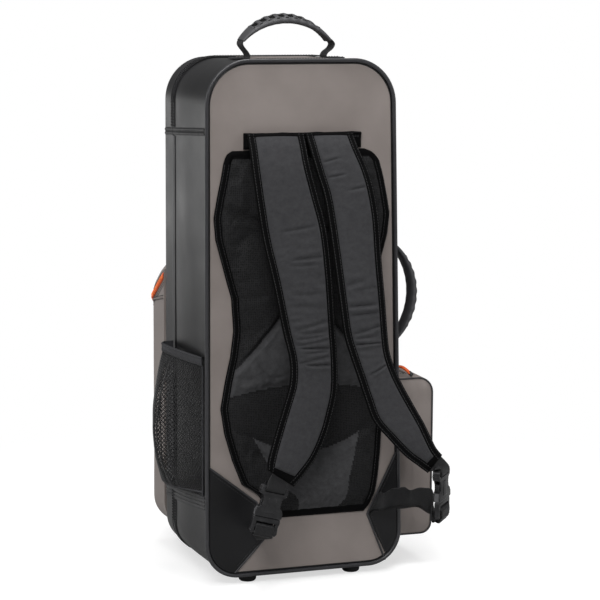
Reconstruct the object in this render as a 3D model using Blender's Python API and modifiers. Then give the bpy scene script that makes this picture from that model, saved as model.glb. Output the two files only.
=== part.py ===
"""Backpack case for an alto saxophone: a zipped foam shell with pockets, handles and padded shoulder straps.

Metres, +Z up. The strap side faces -Y and the lid faces +Y. Sizes are written from the middle of the
case's foot, with y = 0 on the strap side, and the whole case is then set down on its feet at the origin.
"""
import math

import bmesh
import bpy
from mathutils import Matrix, Vector

# Case: outline, depth and the foam walls
CASE_HEIGHT = 0.650
CASE_WIDTH = 0.246
CASE_FLARE = 0.016
CASE_DEPTH = 0.190
LID_DEPTH = 0.052
TOP_RADIUS = 0.055
FOOT_RADIUS = 0.042
WALL = 0.012
LID_EDGE = 0.014
EDGE_STEPS = 3
FIT = 0.0003
SEAM = 0.0006

# Skins, pipings and patches on the two faces
SKIN = 0.002
PIPING_RADIUS = 0.0026
TRIM_RADIUS = 0.0015
PATCH_THICKNESS = 0.0015
# Corner patches, from the side edge down to the foot: shares of (case width inwards, case height)
LEFT_PATCH_SHARES = ((0.0, 0.2185), (0.269, 0.143), (0.312, 0.070), (0.149, 0.0))
RIGHT_PATCH_SHARES = ((0.0, 0.223), (0.131, 0.1446), (0.186, 0.103), (0.082, 0.0))

# Main zipper: the tapes, and the cross bands where they end on the hinge side
TAPE_WIDTH = 0.009
TAPE_THICKNESS = 0.0014
BAND_LOW = 0.083
BAND_HIGH_DROP = 0.089
BAND_THICKNESS = 0.002
LOW_BAND_HEIGHT = 0.019
HIGH_BAND_HEIGHT = 0.012
BAND_FRONT_GAP = 0.004
BAND_BACK = 0.0065
HINGE_STRIP_WIDTH = 0.020
HINGE_STRIP_THICKNESS = 0.0011
HINGE_STANDOFF = 0.0021

# Rubber feet
FOOT_HEIGHT = 0.012
FOOT_WIDTH = 0.026
FOOT_TOP_SHARE = 0.8
FOOT_INSET_LEFT = 0.0593
FOOT_INSET_RIGHT = 0.045
FOOT_FROM_BACK = 0.0145
FOOT_FROM_FRONT = 0.017

# Back pad: foot and head as shares of the case's height, half width and middle as shares of its width, and
# rows of (height share, left share, right share) from its foot to its head
PAD_FOOT_SHARE = 0.1095
PAD_HEAD_SHARE = 0.83
PAD_HALF_WIDTH_SHARE = 0.4772
PAD_MIDDLE_SHARE = 0.0098
PAD_THICKNESS = 0.0155
PAD_EDGE_SHARE = 0.24
PAD_BORDER_SHARE = 0.16
PAD_END_SHARE = 0.02
PAD_CHANNEL_WIDTH = 0.011
PAD_CHANNEL_SHARE = 0.55
# Quilting lines: height share at the pad's edges, rise share towards its middle, and how round the line is
PAD_LINE_SHARES = ((0.86, -0.10, 1), (0.39, 0.25, 1), (0.335, 0.03, 2), (0.28, -0.10, 2))
PAD_ROW_SHARES = (
    (0.000, -0.415, 0.73), (0.018, -0.44, 0.795), (0.050, -0.45, 0.86), (0.068, -0.495, 0.875),
    (0.100, -0.68, 0.895), (0.168, -0.79, 0.92), (0.240, -0.875, 0.935), (0.310, -0.92, 0.93),
    (0.382, -0.87, 0.86), (0.450, -0.81, 0.80), (0.520, -0.775, 0.77), (0.608, -0.80, 0.80),
    (0.660, -0.86, 0.85), (0.715, -0.92, 0.92), (0.766, -0.975, 0.975), (0.822, -0.995, 1.00),
    (0.873, -0.96, 0.965), (0.926, -0.91, 0.92), (0.969, -0.88, 0.87), (0.992, -0.83, 0.78),
    (1.000, -0.64, 0.66),
)
PAD_ACROSS = 14
PAD_ALONG = 40

# Yoke that both shoulder straps are sewn to
YOKE_LEFT_SHARE = -0.3077
YOKE_RIGHT_SHARE = 0.3252
YOKE_HEIGHT = 0.0205
YOKE_GAP = 0.0013
YOKE_THICKNESS = 0.006
YOKE_RADIUS = 0.006

# Shoulder straps: rows of shares, left edge (case width, height), right edge (width, height), bow
STRAP_BOW = 0.074
STRAP_THICKNESS = 0.014
STRAP_EDGE_SHARE = 0.26
STRAP_BORDER_SHARE = 0.22
STRAP_END_SHARE = 0.45
STRAP_TAPER_SHARE = 0.06
STRAP_ACROSS = 6
STRAP_ALONG = 28
LEFT_STRAP_SHARES = (
    (-0.3, 0.862, 0.001, 0.862, 0.0), (-0.302, 0.832, 0.001, 0.832, 0.15),
    (-0.298, 0.791, 0.009, 0.798, 0.26), (-0.28, 0.728, 0.041, 0.745, 0.335),
    (-0.255, 0.662, 0.082, 0.68, 0.394), (-0.211, 0.585, 0.102, 0.598, 0.465),
    (-0.162, 0.492, 0.117, 0.498, 0.513), (-0.129, 0.437, 0.127, 0.43, 0.549),
    (-0.129, 0.392, 0.126, 0.372, 0.561), (-0.162, 0.349, 0.101, 0.328, 0.572),
    (-0.194, 0.312, 0.066, 0.285, 0.578), (-0.228, 0.27, 0.015, 0.245, 0.584),
    (-0.246, 0.244, -0.049, 0.214, 0.59), (-0.249, 0.226, -0.109, 0.19, 0.596),
)
RIGHT_STRAP_SHARES = (
    (0.009, 0.862, 0.265, 0.862, 0.0), (0.017, 0.832, 0.279, 0.832, 0.15),
    (0.041, 0.788, 0.312, 0.797, 0.27), (0.07, 0.745, 0.339, 0.757, 0.355),
    (0.09, 0.69, 0.3594, 0.7, 0.43), (0.111, 0.615, 0.3654, 0.623, 0.525),
    (0.131, 0.538, 0.3764, 0.542, 0.62), (0.151, 0.48, 0.3844, 0.485, 0.668),
    (0.184, 0.435, 0.3915, 0.446, 0.721), (0.216, 0.397, 0.417, 0.412, 0.769),
    (0.249, 0.357, 0.459, 0.377, 0.816), (0.289, 0.315, 0.514, 0.338, 0.87),
    (0.363, 0.281, 0.561, 0.305, 0.929), (0.448, 0.246, 0.599, 0.274, 0.971),
    (0.521, 0.224, 0.623, 0.256, 0.989), (0.576, 0.208, 0.655, 0.2415, 1.001),
)

# Webbing and side-release buckles, 25 mm
WEB_WIDTH = 0.025
WEB_THICKNESS = 0.0016
BUCKLE_WIDTH = 0.036
BUCKLE_THICKNESS = 0.0095
SOCKET_LENGTH = 0.040
SOCKET_CAVITY_WIDTH = 0.0294
SOCKET_CAVITY_THICKNESS = 0.0056
SOCKET_CAVITY_DEPTH = 0.026
WINDOW_LENGTH = 0.013
WINDOW_FROM_MOUTH = 0.006
BAR_SLOT = 0.0042
BAR_WALL = 0.0035
PLUG_THICKNESS = 0.0048
PLUG_BASE_LENGTH = 0.022
PRONG_LENGTH = 0.023
PRONG_WIDTH = 0.0042
BUCKLE_CORNER = 0.004
# Top of each buckle: shares of (case width, case height, bow), then its tilt and its turn
LEFT_BUCKLE_SHARES = (-0.2106, 0.1946, 0.6257)
LEFT_BUCKLE_TILT = math.radians(16.0)
LEFT_BUCKLE_TURN = 0.0
RIGHT_BUCKLE_SHARES = (0.6634, 0.2138, 1.0054)
RIGHT_BUCKLE_TILT = math.radians(-6.0)
RIGHT_BUCKLE_TURN = math.radians(48.0)
WEB_LOOP_SHARE = 0.35
WEB_ALONG = 14
WEB_SEAM = 0.00077
# Lower webbing: rows of shares, upper edge (case width, height), lower edge (width, height), bow
LEFT_WEB_SHARES = (
    (-0.287, 0.085, -0.202, 0.085, 0.499), (-0.277, 0.09, -0.177, 0.09, 0.262),
    (-0.273, 0.092, -0.171, 0.092, 0.0),
)
RIGHT_WEB_SHARES = (
    (0.623, 0.164, 0.617, 0.126, 0.904), (0.581, 0.1685, 0.581, 0.134, 0.678),
    (0.529, 0.163, 0.523, 0.128, 0.499), (0.483, 0.159, 0.478, 0.124, 0.333),
    (0.447, 0.15, 0.413, 0.116, 0.131), (0.437, 0.143, 0.389, 0.107, 0.0),
)

# Mesh pocket on the hinge side
MESH_THICKNESS = 0.0012
MESH_TOP_SHARE = 0.409
MESH_BULGE = 0.030
MESH_MOUTH = 0.0075
MESH_BACK = 0.011
MESH_FRONT_GAP = 0.0085
HEM_HEIGHT = 0.011
HEM_THICKNESS = 0.0022
MESH_COLUMNS = 12
MESH_ROWS = 9

# Side pocket on the bell side, with its flap and zipper on top
SIDE_FOOT = 0.028
SIDE_HEAD_SHARE = 0.366
SIDE_STANDOUT = 0.055
SIDE_BACK = 0.020
SIDE_FRONT_GAP = 0.020
SIDE_SKIN = 0.003
SIDE_TOP_RADIUS = 0.020
SIDE_FOOT_RADIUS = 0.010
SIDE_PIPING_RADIUS = 0.0017
SIDE_ZIP_WIDTH = 0.0105
SIDE_FLAP_WIDTH = 0.024
SIDE_FLAP_START = 0.020
SIDE_FLAP_MARGIN = 0.005

# Front pocket on the lid, with the flap above its zipper
POCKET_FOOT = 0.014
POCKET_HEAD_SHARE = 0.5925
POCKET_STANDOUT = 0.0605
POCKET_DROP = 0.030
POCKET_SIDE_INSET = 0.0005
POCKET_EDGE = 0.012
POCKET_DOME = 0.050
POCKET_SKIN = 0.003
POCKET_RINGS = 8
ZIP_DROP = 0.019
ZIP_SLOPE = math.radians(-33.0)
ORANGE_TAPE_WIDTH = 0.009
ORANGE_TAPE_THICKNESS = 0.0011
FLAP_HINGE_INSET = 0.0012

# Zipper sliders and pulls
SLIDER_WIDTH = 0.009
SLIDER_LENGTH = 0.014
SLIDER_THICKNESS = 0.0035
EAR_HEIGHT = 0.0036
EAR_INNER = 0.0022
EAR_OUTER = 0.0042
EAR_LENGTH = 0.005
PULL_WIDTH = 0.0038
PULL_TAB_WIDTH = 0.008
PULL_LENGTH = 0.030
PULL_THICKNESS = 0.0016
PULL_HEAD = 0.0012
PULL_NECK = 0.0038
UPPER_SLIDER_SHARE = 0.7354
LOWER_SLIDER_SHARE = 0.6523
SIDE_SLIDER_Y = 0.034
FRONT_SLIDER_X = -0.070

# Top handle, and the side handle on the bell side
# Each arch: half span, rise of its top above its ends, height of its top above the wall
TOP_ARCH = (0.068, 0.0385, 0.0565)
SIDE_ARCH = (0.064, 0.0305, 0.0461)
LEG_INSET = 0.016
HANDLE_WIDTH = 0.026
HANDLE_THICKNESS = 0.009
HANDLE_END_THICKNESS = 0.005
HANDLE_DEPTH = 0.060
HANDLE_STEPS = 14
LEG_THICKNESS = 0.0022
LEG_FOOT_LENGTH = 0.026
HANDLE_TURN_HEIGHT = 0.0105
TOP_PATCH_THICKNESS = 0.0012
TOP_PATCH_BACK = 0.026
TOP_PATCH_FRONT_GAP = 0.026
SIDE_HANDLE_SHARE = 0.5354
SIDE_HANDLE_DEPTH = 0.046

# Foam bed, accessory box and lid padding inside
BED_DROP = 0.033
BED_FLOOR = 0.026
BED_PLAY = 0.0006
BOX_STEP_DROP = 0.037
BOX_LID_THICKNESS = 0.003
BOX_LEFT_SHARE = 0.05
BOX_FROM_WALL = 0.025
BOX_HEIGHT = 0.185
BOX_FROM_TOP = 0.065
BOX_RADIUS = 0.010
BOX_HINGE_RADIUS = 0.003
BOX_LEDGE = 0.005
LID_PAD_THICKNESS = 0.010
LID_PAD_PLAY = 0.004
NECK_INSET = 0.038
BELL_MOUTH = 0.360
CAVITY_RADIUS = 0.020

# How finely round shapes are turned
CORNER_STEPS = 6
PIPE_SIDES = 2
WELD = 0.00001
OVERRUN = 0.02

CASE_CORNERS = (
    (-CASE_WIDTH / 2, 0),
    (CASE_WIDTH / 2 + CASE_FLARE, 0),
    (CASE_WIDTH / 2, CASE_HEIGHT),
    (-CASE_WIDTH / 2, CASE_HEIGHT),
)
CASE_RADII = (FOOT_RADIUS, FOOT_RADIUS, TOP_RADIUS, TOP_RADIUS)
LEFT_WALL_X = -CASE_WIDTH / 2
SKIN_FACE = -FIT - SKIN
SPLIT_DEPTH = CASE_DEPTH - LID_DEPTH
BAND_HIGH = CASE_HEIGHT - BAND_HIGH_DROP
BAND_FRONT = SPLIT_DEPTH - BAND_FRONT_GAP
PAD_FOOT = CASE_HEIGHT * PAD_FOOT_SHARE
PAD_HEAD = CASE_HEIGHT * PAD_HEAD_SHARE
YOKE_FOOT = PAD_HEAD + YOKE_GAP
MESH_TOP = CASE_HEIGHT * MESH_TOP_SHARE
MESH_FRONT = SPLIT_DEPTH - MESH_FRONT_GAP
SIDE_HEAD = CASE_HEIGHT * SIDE_HEAD_SHARE
SIDE_FRONT = SPLIT_DEPTH - SIDE_FRONT_GAP
POCKET_HEAD = CASE_HEIGHT * POCKET_HEAD_SHARE
ZIP_BACK_Z = POCKET_HEAD - ZIP_DROP
BED_FRONT = SPLIT_DEPTH - BED_DROP
BOX_STEP = BED_FRONT - BOX_STEP_DROP
BOX_RIGHT = CASE_WIDTH / 2 - BOX_FROM_WALL
BOX_LEFT = CASE_WIDTH * BOX_LEFT_SHARE
BOX_HEAD = CASE_HEIGHT - BOX_FROM_TOP
BOX_FOOT = BOX_HEAD - BOX_HEIGHT


def bell_wall_x(z):
    """Where the outer face of the bell-side wall is at height z: it leans out towards the foot."""
    return CASE_WIDTH / 2 + CASE_FLARE * (1 - z / CASE_HEIGHT)


# Scene, collections and materials
for old in list(bpy.data.objects):
    bpy.data.objects.remove(old)

PARTS = bpy.data.collections.new("alto_saxophone_case")
CUTTERS = bpy.data.collections.new("cutters")
for collection in (PARTS, CUTTERS):
    bpy.context.scene.collection.children.link(collection)


def linear(level):
    return level / 12.92 if level <= 0.04045 else ((level + 0.055) / 1.055) ** 2.4


def finish(name, hex_colour, roughness, metallic=0.0):
    """A plain material in an sRGB colour."""
    made = bpy.data.materials.new(name)
    made.use_nodes = True
    shader = made.node_tree.nodes["Principled BSDF"]
    channels = [int(hex_colour[i:i + 2], 16) / 255 for i in (0, 2, 4)]
    shader.inputs["Base Color"].default_value = (*map(linear, channels), 1)
    shader.inputs["Roughness"].default_value = roughness
    shader.inputs["Metallic"].default_value = metallic
    return made


TAUPE = finish("taupe_leathercloth", "8C8380", 0.55)
BLACK_LEATHER = finish("black_leathercloth", "2E2E30", 0.45)
PIPING = finish("black_piping", "17171A", 0.40)
PADDING = finish("spacer_fabric", "202124", 0.90)
STRAP_CLOTH = finish("strap_fabric", "363636", 0.80)
WEBBING = finish("polyester_webbing", "1A1A1C", 0.75)
MESH_CLOTH = finish("elastic_mesh", "1C1C1C", 0.85)
TAPE = finish("zipper_tape", "141416", 0.70)
ORANGE = finish("orange_zipper_tape", "E2622A", 0.60)
ACETAL = finish("buckle_acetal", "1D1D1F", 0.35)
METAL = finish("blackened_zinc", "2A2A2C", 0.35, 1.0)
RUBBER = finish("foot_rubber", "141415", 0.80)
GRIP_RUBBER = finish("grip_rubber", "2B2B2C", 0.60)
PLUSH = finish("lining_plush", "2B2B30", 0.95)


# Frames that carry the moving pieces: each is an empty on its joint's axis
def frame(name, place, parent=None):
    """An empty at a place. What hangs on it moves with it."""
    empty = bpy.data.objects.new(name, None)
    empty.empty_display_size = WALL
    PARTS.objects.link(empty)
    empty.location = place
    bpy.context.view_layer.update()
    if parent:
        hang(empty, parent)
    return empty


def hang(obj, parent):
    """Parents an object where it stands."""
    bpy.context.view_layer.update()
    world = obj.matrix_world.copy()
    obj.parent = parent
    obj.matrix_parent_inverse = parent.matrix_world.inverted()
    obj.matrix_world = world


def place(obj, look, body, collection=PARTS):
    """Links a new object, gives it its material and hangs it on a body's frame."""
    collection.objects.link(obj)
    if look:
        obj.data.materials.append(look)
    if body:
        hang(obj, body)
    return obj


# Shapes
def rounded(corners, radii, inset=0.0, steps=CORNER_STEPS):
    """Outline through corners, anticlockwise, each turned on its radius, all of it drawn in by inset."""
    points = []
    for i, radius in enumerate(radii):
        before, here, after = (Vector(corners[(i + k) % len(corners)]) for k in (-1, 0, 1))
        back, on = (before - here).normalized(), (after - here).normalized()
        half = back.angle(on) / 2
        bend = 1 if back.x * on.y - back.y * on.x < 0 else -1
        radius = max(radius, inset * bend)
        centre = here + (back + on).normalized() * radius / math.sin(half)
        start = here + back * radius / math.tan(half) - centre
        end = here + on * radius / math.tan(half) - centre
        first = math.atan2(start.y, start.x)
        sweep = (math.atan2(end.y, end.x) - first + math.pi) % (2 * math.pi) - math.pi
        turned = radius - inset * bend
        count = steps if turned > WELD else 0
        for step in range(count + 1):
            angle = first + sweep * step / max(count, 1)
            points.append((centre.x + turned * math.cos(angle), centre.y + turned * math.sin(angle)))
    return points


def rectangle(left, low, right, high):
    return [(left, low), (right, low), (right, high), (left, high)]


def case_outline(inset=0.0):
    return rounded(CASE_CORNERS, CASE_RADII, inset)


AXIS_FRAMES = {
    "X": Matrix(((0, 0, 1), (1, 0, 0), (0, 1, 0))).to_4x4(),
    "Y": Matrix(((1, 0, 0), (0, 0, -1), (0, 1, 0))).to_4x4(),
    "Z": Matrix.Identity(4),
}
AXIS_VECTORS = {"X": Vector((1, 0, 0)), "Y": Vector((0, 1, 0)), "Z": Vector((0, 0, 1))}


def plate(name, outline, axis, start, end, look, body, holes=(), at=None, collection=PARTS):
    """Flat outline of the two other axes, filled and extruded along one axis from start to end."""
    curve = bpy.data.curves.new(name, "CURVE")
    curve.dimensions = "2D"
    curve.fill_mode = "BOTH"
    curve.extrude = (end - start) / 2
    for loop in (outline, *holes):
        spline = curve.splines.new("POLY")
        spline.points.add(len(loop) - 1)
        for point, (u, v) in zip(spline.points, loop):
            point.co = (u, v, 0, 1)
        spline.use_cyclic_u = True
    obj = bpy.data.objects.new(name, curve)
    middle = Matrix.Translation(AXIS_VECTORS[axis] * (start + end) / 2)
    obj.matrix_world = (at or Matrix.Identity(4)) @ middle @ AXIS_FRAMES[axis]
    return place(obj, look, body, collection)


def as_mesh(curve_object):
    """The same solid as a welded mesh, which Booleans and bevels can work on."""
    bpy.context.view_layer.update()
    graph = bpy.context.evaluated_depsgraph_get()
    mesh = bpy.data.meshes.new_from_object(curve_object.evaluated_get(graph))
    bm = bmesh.new()
    bm.from_mesh(mesh)
    bmesh.ops.remove_doubles(bm, verts=bm.verts, dist=WELD)
    bmesh.ops.recalc_face_normals(bm, faces=bm.faces)
    bm.to_mesh(mesh)
    bm.free()
    name, world, parent = curve_object.name, curve_object.matrix_world.copy(), curve_object.parent
    home = curve_object.users_collection[0]
    bpy.data.objects.remove(curve_object)
    solid = bpy.data.objects.new(name, mesh)
    home.objects.link(solid)
    solid.matrix_world = world
    if parent:
        hang(solid, parent)
    return solid


def smooth(obj, angle=math.radians(35)):
    obj.data.shade_smooth()
    obj.data.set_sharp_from_angle(angle=angle)
    return obj


def cut(obj, cutter, operation="DIFFERENCE"):
    """Cuts, joins or crosses a mesh with a helper, which is then hidden."""
    cutter.hide_render = True
    cutter.display_type = "WIRE"
    boolean = obj.modifiers.new(operation.lower() + "_" + cutter.name, "BOOLEAN")
    boolean.operation = operation
    boolean.object = cutter
    return obj


def cutter_plate(name, outline, axis, start, end, body, at=None):
    return as_mesh(plate(name, outline, axis, start, end, None, body, at=at, collection=CUTTERS))


def cutter_box(name, low, high, body, at=None):
    """Box helper between two corners."""
    outline = rectangle(low[0], low[1], high[0], high[1])
    return cutter_plate(name, outline, "Z", low[2], high[2], body, at)


def tube(name, points, radius, look, body, closed=False, sides=PIPE_SIDES):
    """Round wire through points."""
    curve = bpy.data.curves.new(name, "CURVE")
    curve.dimensions = "3D"
    curve.bevel_depth = radius
    curve.bevel_resolution = sides
    curve.use_fill_caps = not closed
    spline = curve.splines.new("POLY")
    spline.points.add(len(points) - 1)
    for point, place_on in zip(spline.points, points):
        point.co = (*place_on, 1)
    spline.use_cyclic_u = closed
    spline.use_smooth = True
    return place(bpy.data.objects.new(name, curve), look, body)


def from_bmesh(name, bm, look, body, collection=PARTS):
    mesh = bpy.data.meshes.new(name)
    bm.to_mesh(mesh)
    bm.free()
    return place(bpy.data.objects.new(name, mesh), look, body, collection)


def tray(name, rings, wall, look, body):
    """Open box through rings of (y, XZ outline) from its rim to its floor, given its wall inwards."""
    bm = bmesh.new()
    rings = [[bm.verts.new((x, y, z)) for x, z in outline] for y, outline in rings]
    count = len(rings[0])
    for low, high in zip(rings, rings[1:]):
        for i in range(count):
            j = (i + 1) % count
            bm.faces.new((low[i], high[i], high[j], low[j]))
    floor = bm.faces.new(rings[-1])
    outwards = rings[-1][0].co.y - rings[0][0].co.y
    bmesh.ops.recalc_face_normals(bm, faces=bm.faces)
    floor.normal_update()
    if floor.normal.y * outwards < 0:
        bmesh.ops.reverse_faces(bm, faces=bm.faces)
    obj = from_bmesh(name, bm, look, body)
    shell = obj.modifiers.new("wall", "SOLIDIFY")
    shell.thickness = wall
    shell.offset = -1
    shell.use_even_offset = True
    return smooth(obj)


def rolled(outline_at, start, end, radius, steps):
    """Rings of a box from its rim at start, its edge rolled in to its floor at end."""
    rings = [(start, outline_at(0))]
    side = math.copysign(radius, end - start)
    for step in range(steps + 1):
        angle = step / steps * math.pi / 2
        rings.append((end - side * (1 - math.sin(angle)), outline_at(radius * (1 - math.cos(angle)))))
    return rings


def quilt(name, rows, thickness, shape, look, body, lean=0.0):
    """Cushion on a sheet of rows of points, as thick at each (across, along) share as shape says.

    lean shifts the thickness: 0 puts it evenly on both sides of the sheet, 1 all on its normal's side.
    """
    across, along = len(rows[0]) - 1, len(rows) - 1
    bm = bmesh.new()
    grid = [[bm.verts.new(point) for point in row] for row in rows]
    for j in range(along):
        for i in range(across):
            bm.faces.new((grid[j][i], grid[j][i + 1], grid[j + 1][i + 1], grid[j + 1][i]))
    bm.verts.index_update()
    weights = {}
    for j, row in enumerate(grid):
        for i, vert in enumerate(row):
            weights[vert.index] = shape(i / across, j / along)
    obj = from_bmesh(name, bm, look, body)
    group = obj.vertex_groups.new(name="fill")
    for index, weight in weights.items():
        group.add([index], weight, "REPLACE")
    filling = obj.modifiers.new("filling", "SOLIDIFY")
    filling.thickness = thickness
    filling.offset = lean
    filling.vertex_group = group.name
    filling.thickness_vertex_group = 0
    return smooth(obj)


def between(a, b, share):
    return a + (b - a) * share


def table_row(table, share):
    """Row of a table of shares, read along its whole length with straight runs eased by their neighbours."""
    place_in = share * (len(table) - 1)
    i = min(int(place_in), len(table) - 2)
    f = place_in - i
    ease = []
    for column in range(len(table[0])):
        p = [table[min(max(i + k, 0), len(table) - 1)][column] for k in (-1, 0, 1, 2)]
        ease.append(
            p[1] + 0.5 * f * (p[2] - p[0] + f * (2 * p[0] - 5 * p[1] + 4 * p[2] - p[3]
            + f * (3 * (p[1] - p[2]) + p[3] - p[0])))
        )
    return ease


# Bodies
SHELL = frame("case_frame", (0, 0, 0))
LID = frame("lid_frame", (LEFT_WALL_X - HINGE_STANDOFF, SPLIT_DEPTH, CASE_HEIGHT / 2), SHELL)


def build_shell():
    """Foam back half with its faces, skins, pipings, bands and feet."""
    rings = [(SPLIT_DEPTH - FIT, case_outline()), (0, case_outline())]
    tray("back_shell", rings, WALL, BLACK_LEATHER, SHELL)
    skin_inset = PIPING_RADIUS + 2 * FIT
    plate("back_panel", case_outline(skin_inset), "Y", SKIN_FACE, -FIT, TAUPE, SHELL)
    ring = [(x, -FIT - PIPING_RADIUS, z) for x, z in case_outline()]
    tube("back_piping", ring, PIPING_RADIUS, PIPING, SHELL, closed=True)


def build_corner_patches():
    """Leather patches over the back panel's two lower corners."""
    front = SKIN_FACE - FIT
    inset = PIPING_RADIUS + 2 * FIT
    for side, sign, shares in (("left", -1, LEFT_PATCH_SHARES), ("right", 1, RIGHT_PATCH_SHARES)):
        edge = LEFT_WALL_X if sign < 0 else bell_wall_x(0)
        corners = [(edge - sign * CASE_WIDTH * inwards, CASE_HEIGHT * up) for inwards, up in shares]
        far = edge + sign * OVERRUN
        corners += [(corners[-1][0], -OVERRUN), (far, -OVERRUN), (far, corners[0][1])]
        patch = as_mesh(plate(
            "corner_patch_" + side, case_outline(inset), "Y", front - PATCH_THICKNESS, front,
            BLACK_LEATHER, SHELL,
        ))
        low, high = front - OVERRUN, front + OVERRUN
        keep = cutter_plate("patch_" + side + "_cutter", corners, "Y", low, high, SHELL)
        cut(patch, keep, "INTERSECT")


def zip_path(offset):
    """Outline from the low band round the foot, the bell side and the top to the high band."""
    side = LEFT_WALL_X - offset
    return [(side, BAND_LOW), *case_outline(-offset), (side, BAND_HIGH)]


def tape_outline():
    outer, inner = zip_path(FIT + TAPE_THICKNESS), zip_path(FIT)
    return outer + inner[::-1]


def side_strip(name, low, high, back, front, thickness, look, body):
    """Flat strip on the hinge-side wall."""
    outline = rectangle(back, low, front, high)
    face = LEFT_WALL_X - FIT
    return plate(name, outline, "X", face - thickness, face, look, body)


def build_zipper_and_hinge():
    """Both zipper tapes, the bands where they end, and the strip that the lid turns on."""
    plate("zipper_tape_shell", tape_outline(), "Y", SPLIT_DEPTH - TAPE_WIDTH, SPLIT_DEPTH - FIT, TAPE, SHELL)
    plate("zipper_tape_lid", tape_outline(), "Y", SPLIT_DEPTH + FIT, SPLIT_DEPTH + TAPE_WIDTH, TAPE, LID)
    side_strip(
        "upper_band", BAND_HIGH - HIGH_BAND_HEIGHT, BAND_HIGH - FIT, BAND_BACK, BAND_FRONT,
        BAND_THICKNESS, BLACK_LEATHER, SHELL,
    )
    side_strip(
        "mesh_band", BAND_LOW + FIT, BAND_LOW + LOW_BAND_HEIGHT, BAND_BACK, BAND_FRONT,
        BAND_THICKNESS, BLACK_LEATHER, SHELL,
    )
    back = SPLIT_DEPTH - HINGE_STRIP_WIDTH / 2
    side_strip(
        "hinge_strip", BAND_LOW + LOW_BAND_HEIGHT + SEAM, BAND_HIGH - HIGH_BAND_HEIGHT - SEAM,
        max(back, BAND_FRONT + SEAM), SPLIT_DEPTH + HINGE_STRIP_WIDTH / 2, HINGE_STRIP_THICKNESS,
        BLACK_LEATHER, SHELL,
    )


def build_feet():
    """Four rubber feet, wider where they meet the case."""
    rows = (("back", FOOT_FROM_BACK, SHELL), ("front", CASE_DEPTH - FOOT_FROM_FRONT, LID))
    sides = (("left", LEFT_WALL_X + FOOT_INSET_LEFT), ("right", CASE_WIDTH / 2 - FOOT_INSET_RIGHT))
    for row, y, body in rows:
        for side, x in sides:
            bm = bmesh.new()
            bmesh.ops.create_cone(
                bm, cap_ends=True, segments=2 * CORNER_STEPS, radius1=FOOT_WIDTH / 2 * FOOT_TOP_SHARE,
                radius2=FOOT_WIDTH / 2, depth=FOOT_HEIGHT - FIT,
            )
            bmesh.ops.translate(bm, verts=bm.verts, vec=(x, y, -(FOOT_HEIGHT + FIT) / 2))
            smooth(from_bmesh("foot_" + row + "_" + side, bm, RUBBER, body))


def pad_fill(across, along):
    """Fill of the back pad: a stitched border, a V near the head, two slants and a lens lower down."""
    u = abs(2 * across - 1)
    border = min((1 - u) / PAD_BORDER_SHARE, along / PAD_END_SHARE, (1 - along) / PAD_END_SHARE, 1.0)
    fill = between(PAD_EDGE_SHARE, 1.0, border)
    for at_edge, rise, roundness in PAD_LINE_SHARES:
        line = at_edge + rise * (1 - u ** roundness)
        away = abs(along - line) * (PAD_HEAD - PAD_FOOT) / PAD_CHANNEL_WIDTH
        fill *= 1 - PAD_CHANNEL_SHARE * max(0.0, 1 - away)
    return max(PAD_EDGE_SHARE, fill)


def build_back_pad():
    """Hourglass pad with a stitched border and quilting lines, flat against the panel."""
    face = SKIN_FACE - FIT
    rows = []
    for j in range(PAD_ALONG + 1):
        wanted = j / PAD_ALONG
        for low, high in zip(PAD_ROW_SHARES, PAD_ROW_SHARES[1:]):
            if wanted <= high[0]:
                break
        f = (wanted - low[0]) / (high[0] - low[0])
        reach = [PAD_HALF_WIDTH_SHARE * between(low[k], high[k], f) for k in (1, 2)]
        left, right = (CASE_WIDTH * (PAD_MIDDLE_SHARE + share) for share in reach)
        z = between(PAD_FOOT, PAD_HEAD, wanted)
        rows.append([(between(left, right, i / PAD_ACROSS), face, z) for i in range(PAD_ACROSS + 1)])
    quilt("back_pad", rows, PAD_THICKNESS, pad_fill, PADDING, SHELL, lean=1)


def strap_fill(across, along):
    """Fill of a shoulder strap: flat bindings along both edges, thinner at both ends."""
    border = min(across, 1 - across) / STRAP_BORDER_SHARE
    crown = between(STRAP_EDGE_SHARE, 1.0, min(1.0, border))
    taper = between(STRAP_END_SHARE, 1.0, min(1.0, min(along, 1 - along) / STRAP_TAPER_SHARE))
    return max(STRAP_EDGE_SHARE, crown * taper)


def strap_rows(table, along, across, root):
    """Rows of points on a strap, eased between the table's rows and bowed out from their root."""
    rows = []
    for j in range(along + 1):
        left, left_up, right, right_up, bow = table_row(table, j / along)
        y = root - STRAP_BOW * bow
        near = Vector((CASE_WIDTH * left, y, CASE_HEIGHT * left_up))
        far = Vector((CASE_WIDTH * right, y, CASE_HEIGHT * right_up))
        rows.append([near.lerp(far, i / across) for i in range(across + 1)])
    return rows


def build_strap_yoke():
    left, right = CASE_WIDTH * YOKE_LEFT_SHARE, CASE_WIDTH * YOKE_RIGHT_SHARE
    outline = rounded(rectangle(left, YOKE_FOOT, right, YOKE_FOOT + YOKE_HEIGHT), [YOKE_RADIUS] * 4)
    plate("strap_yoke", outline, "Y", SKIN_FACE - FIT - YOKE_THICKNESS, SKIN_FACE - FIT, WEBBING, SHELL)


def strap_root_y():
    """Where the straps' sewn ends are: their padding's thin end lies against the yoke."""
    return SKIN_FACE - FIT - YOKE_THICKNESS - WEB_SEAM - STRAP_END_SHARE * STRAP_THICKNESS / 2


def socket_outline():
    """Half-open frame seen from its face: x across, y along, 0 at the webbing end."""
    half = BUCKLE_WIDTH / 2
    corners = [(-half, -SOCKET_LENGTH), (half, -SOCKET_LENGTH), (half, 0), (-half, 0)]
    return rounded(corners, [BUCKLE_CORNER] * 4, steps=2)


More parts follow.
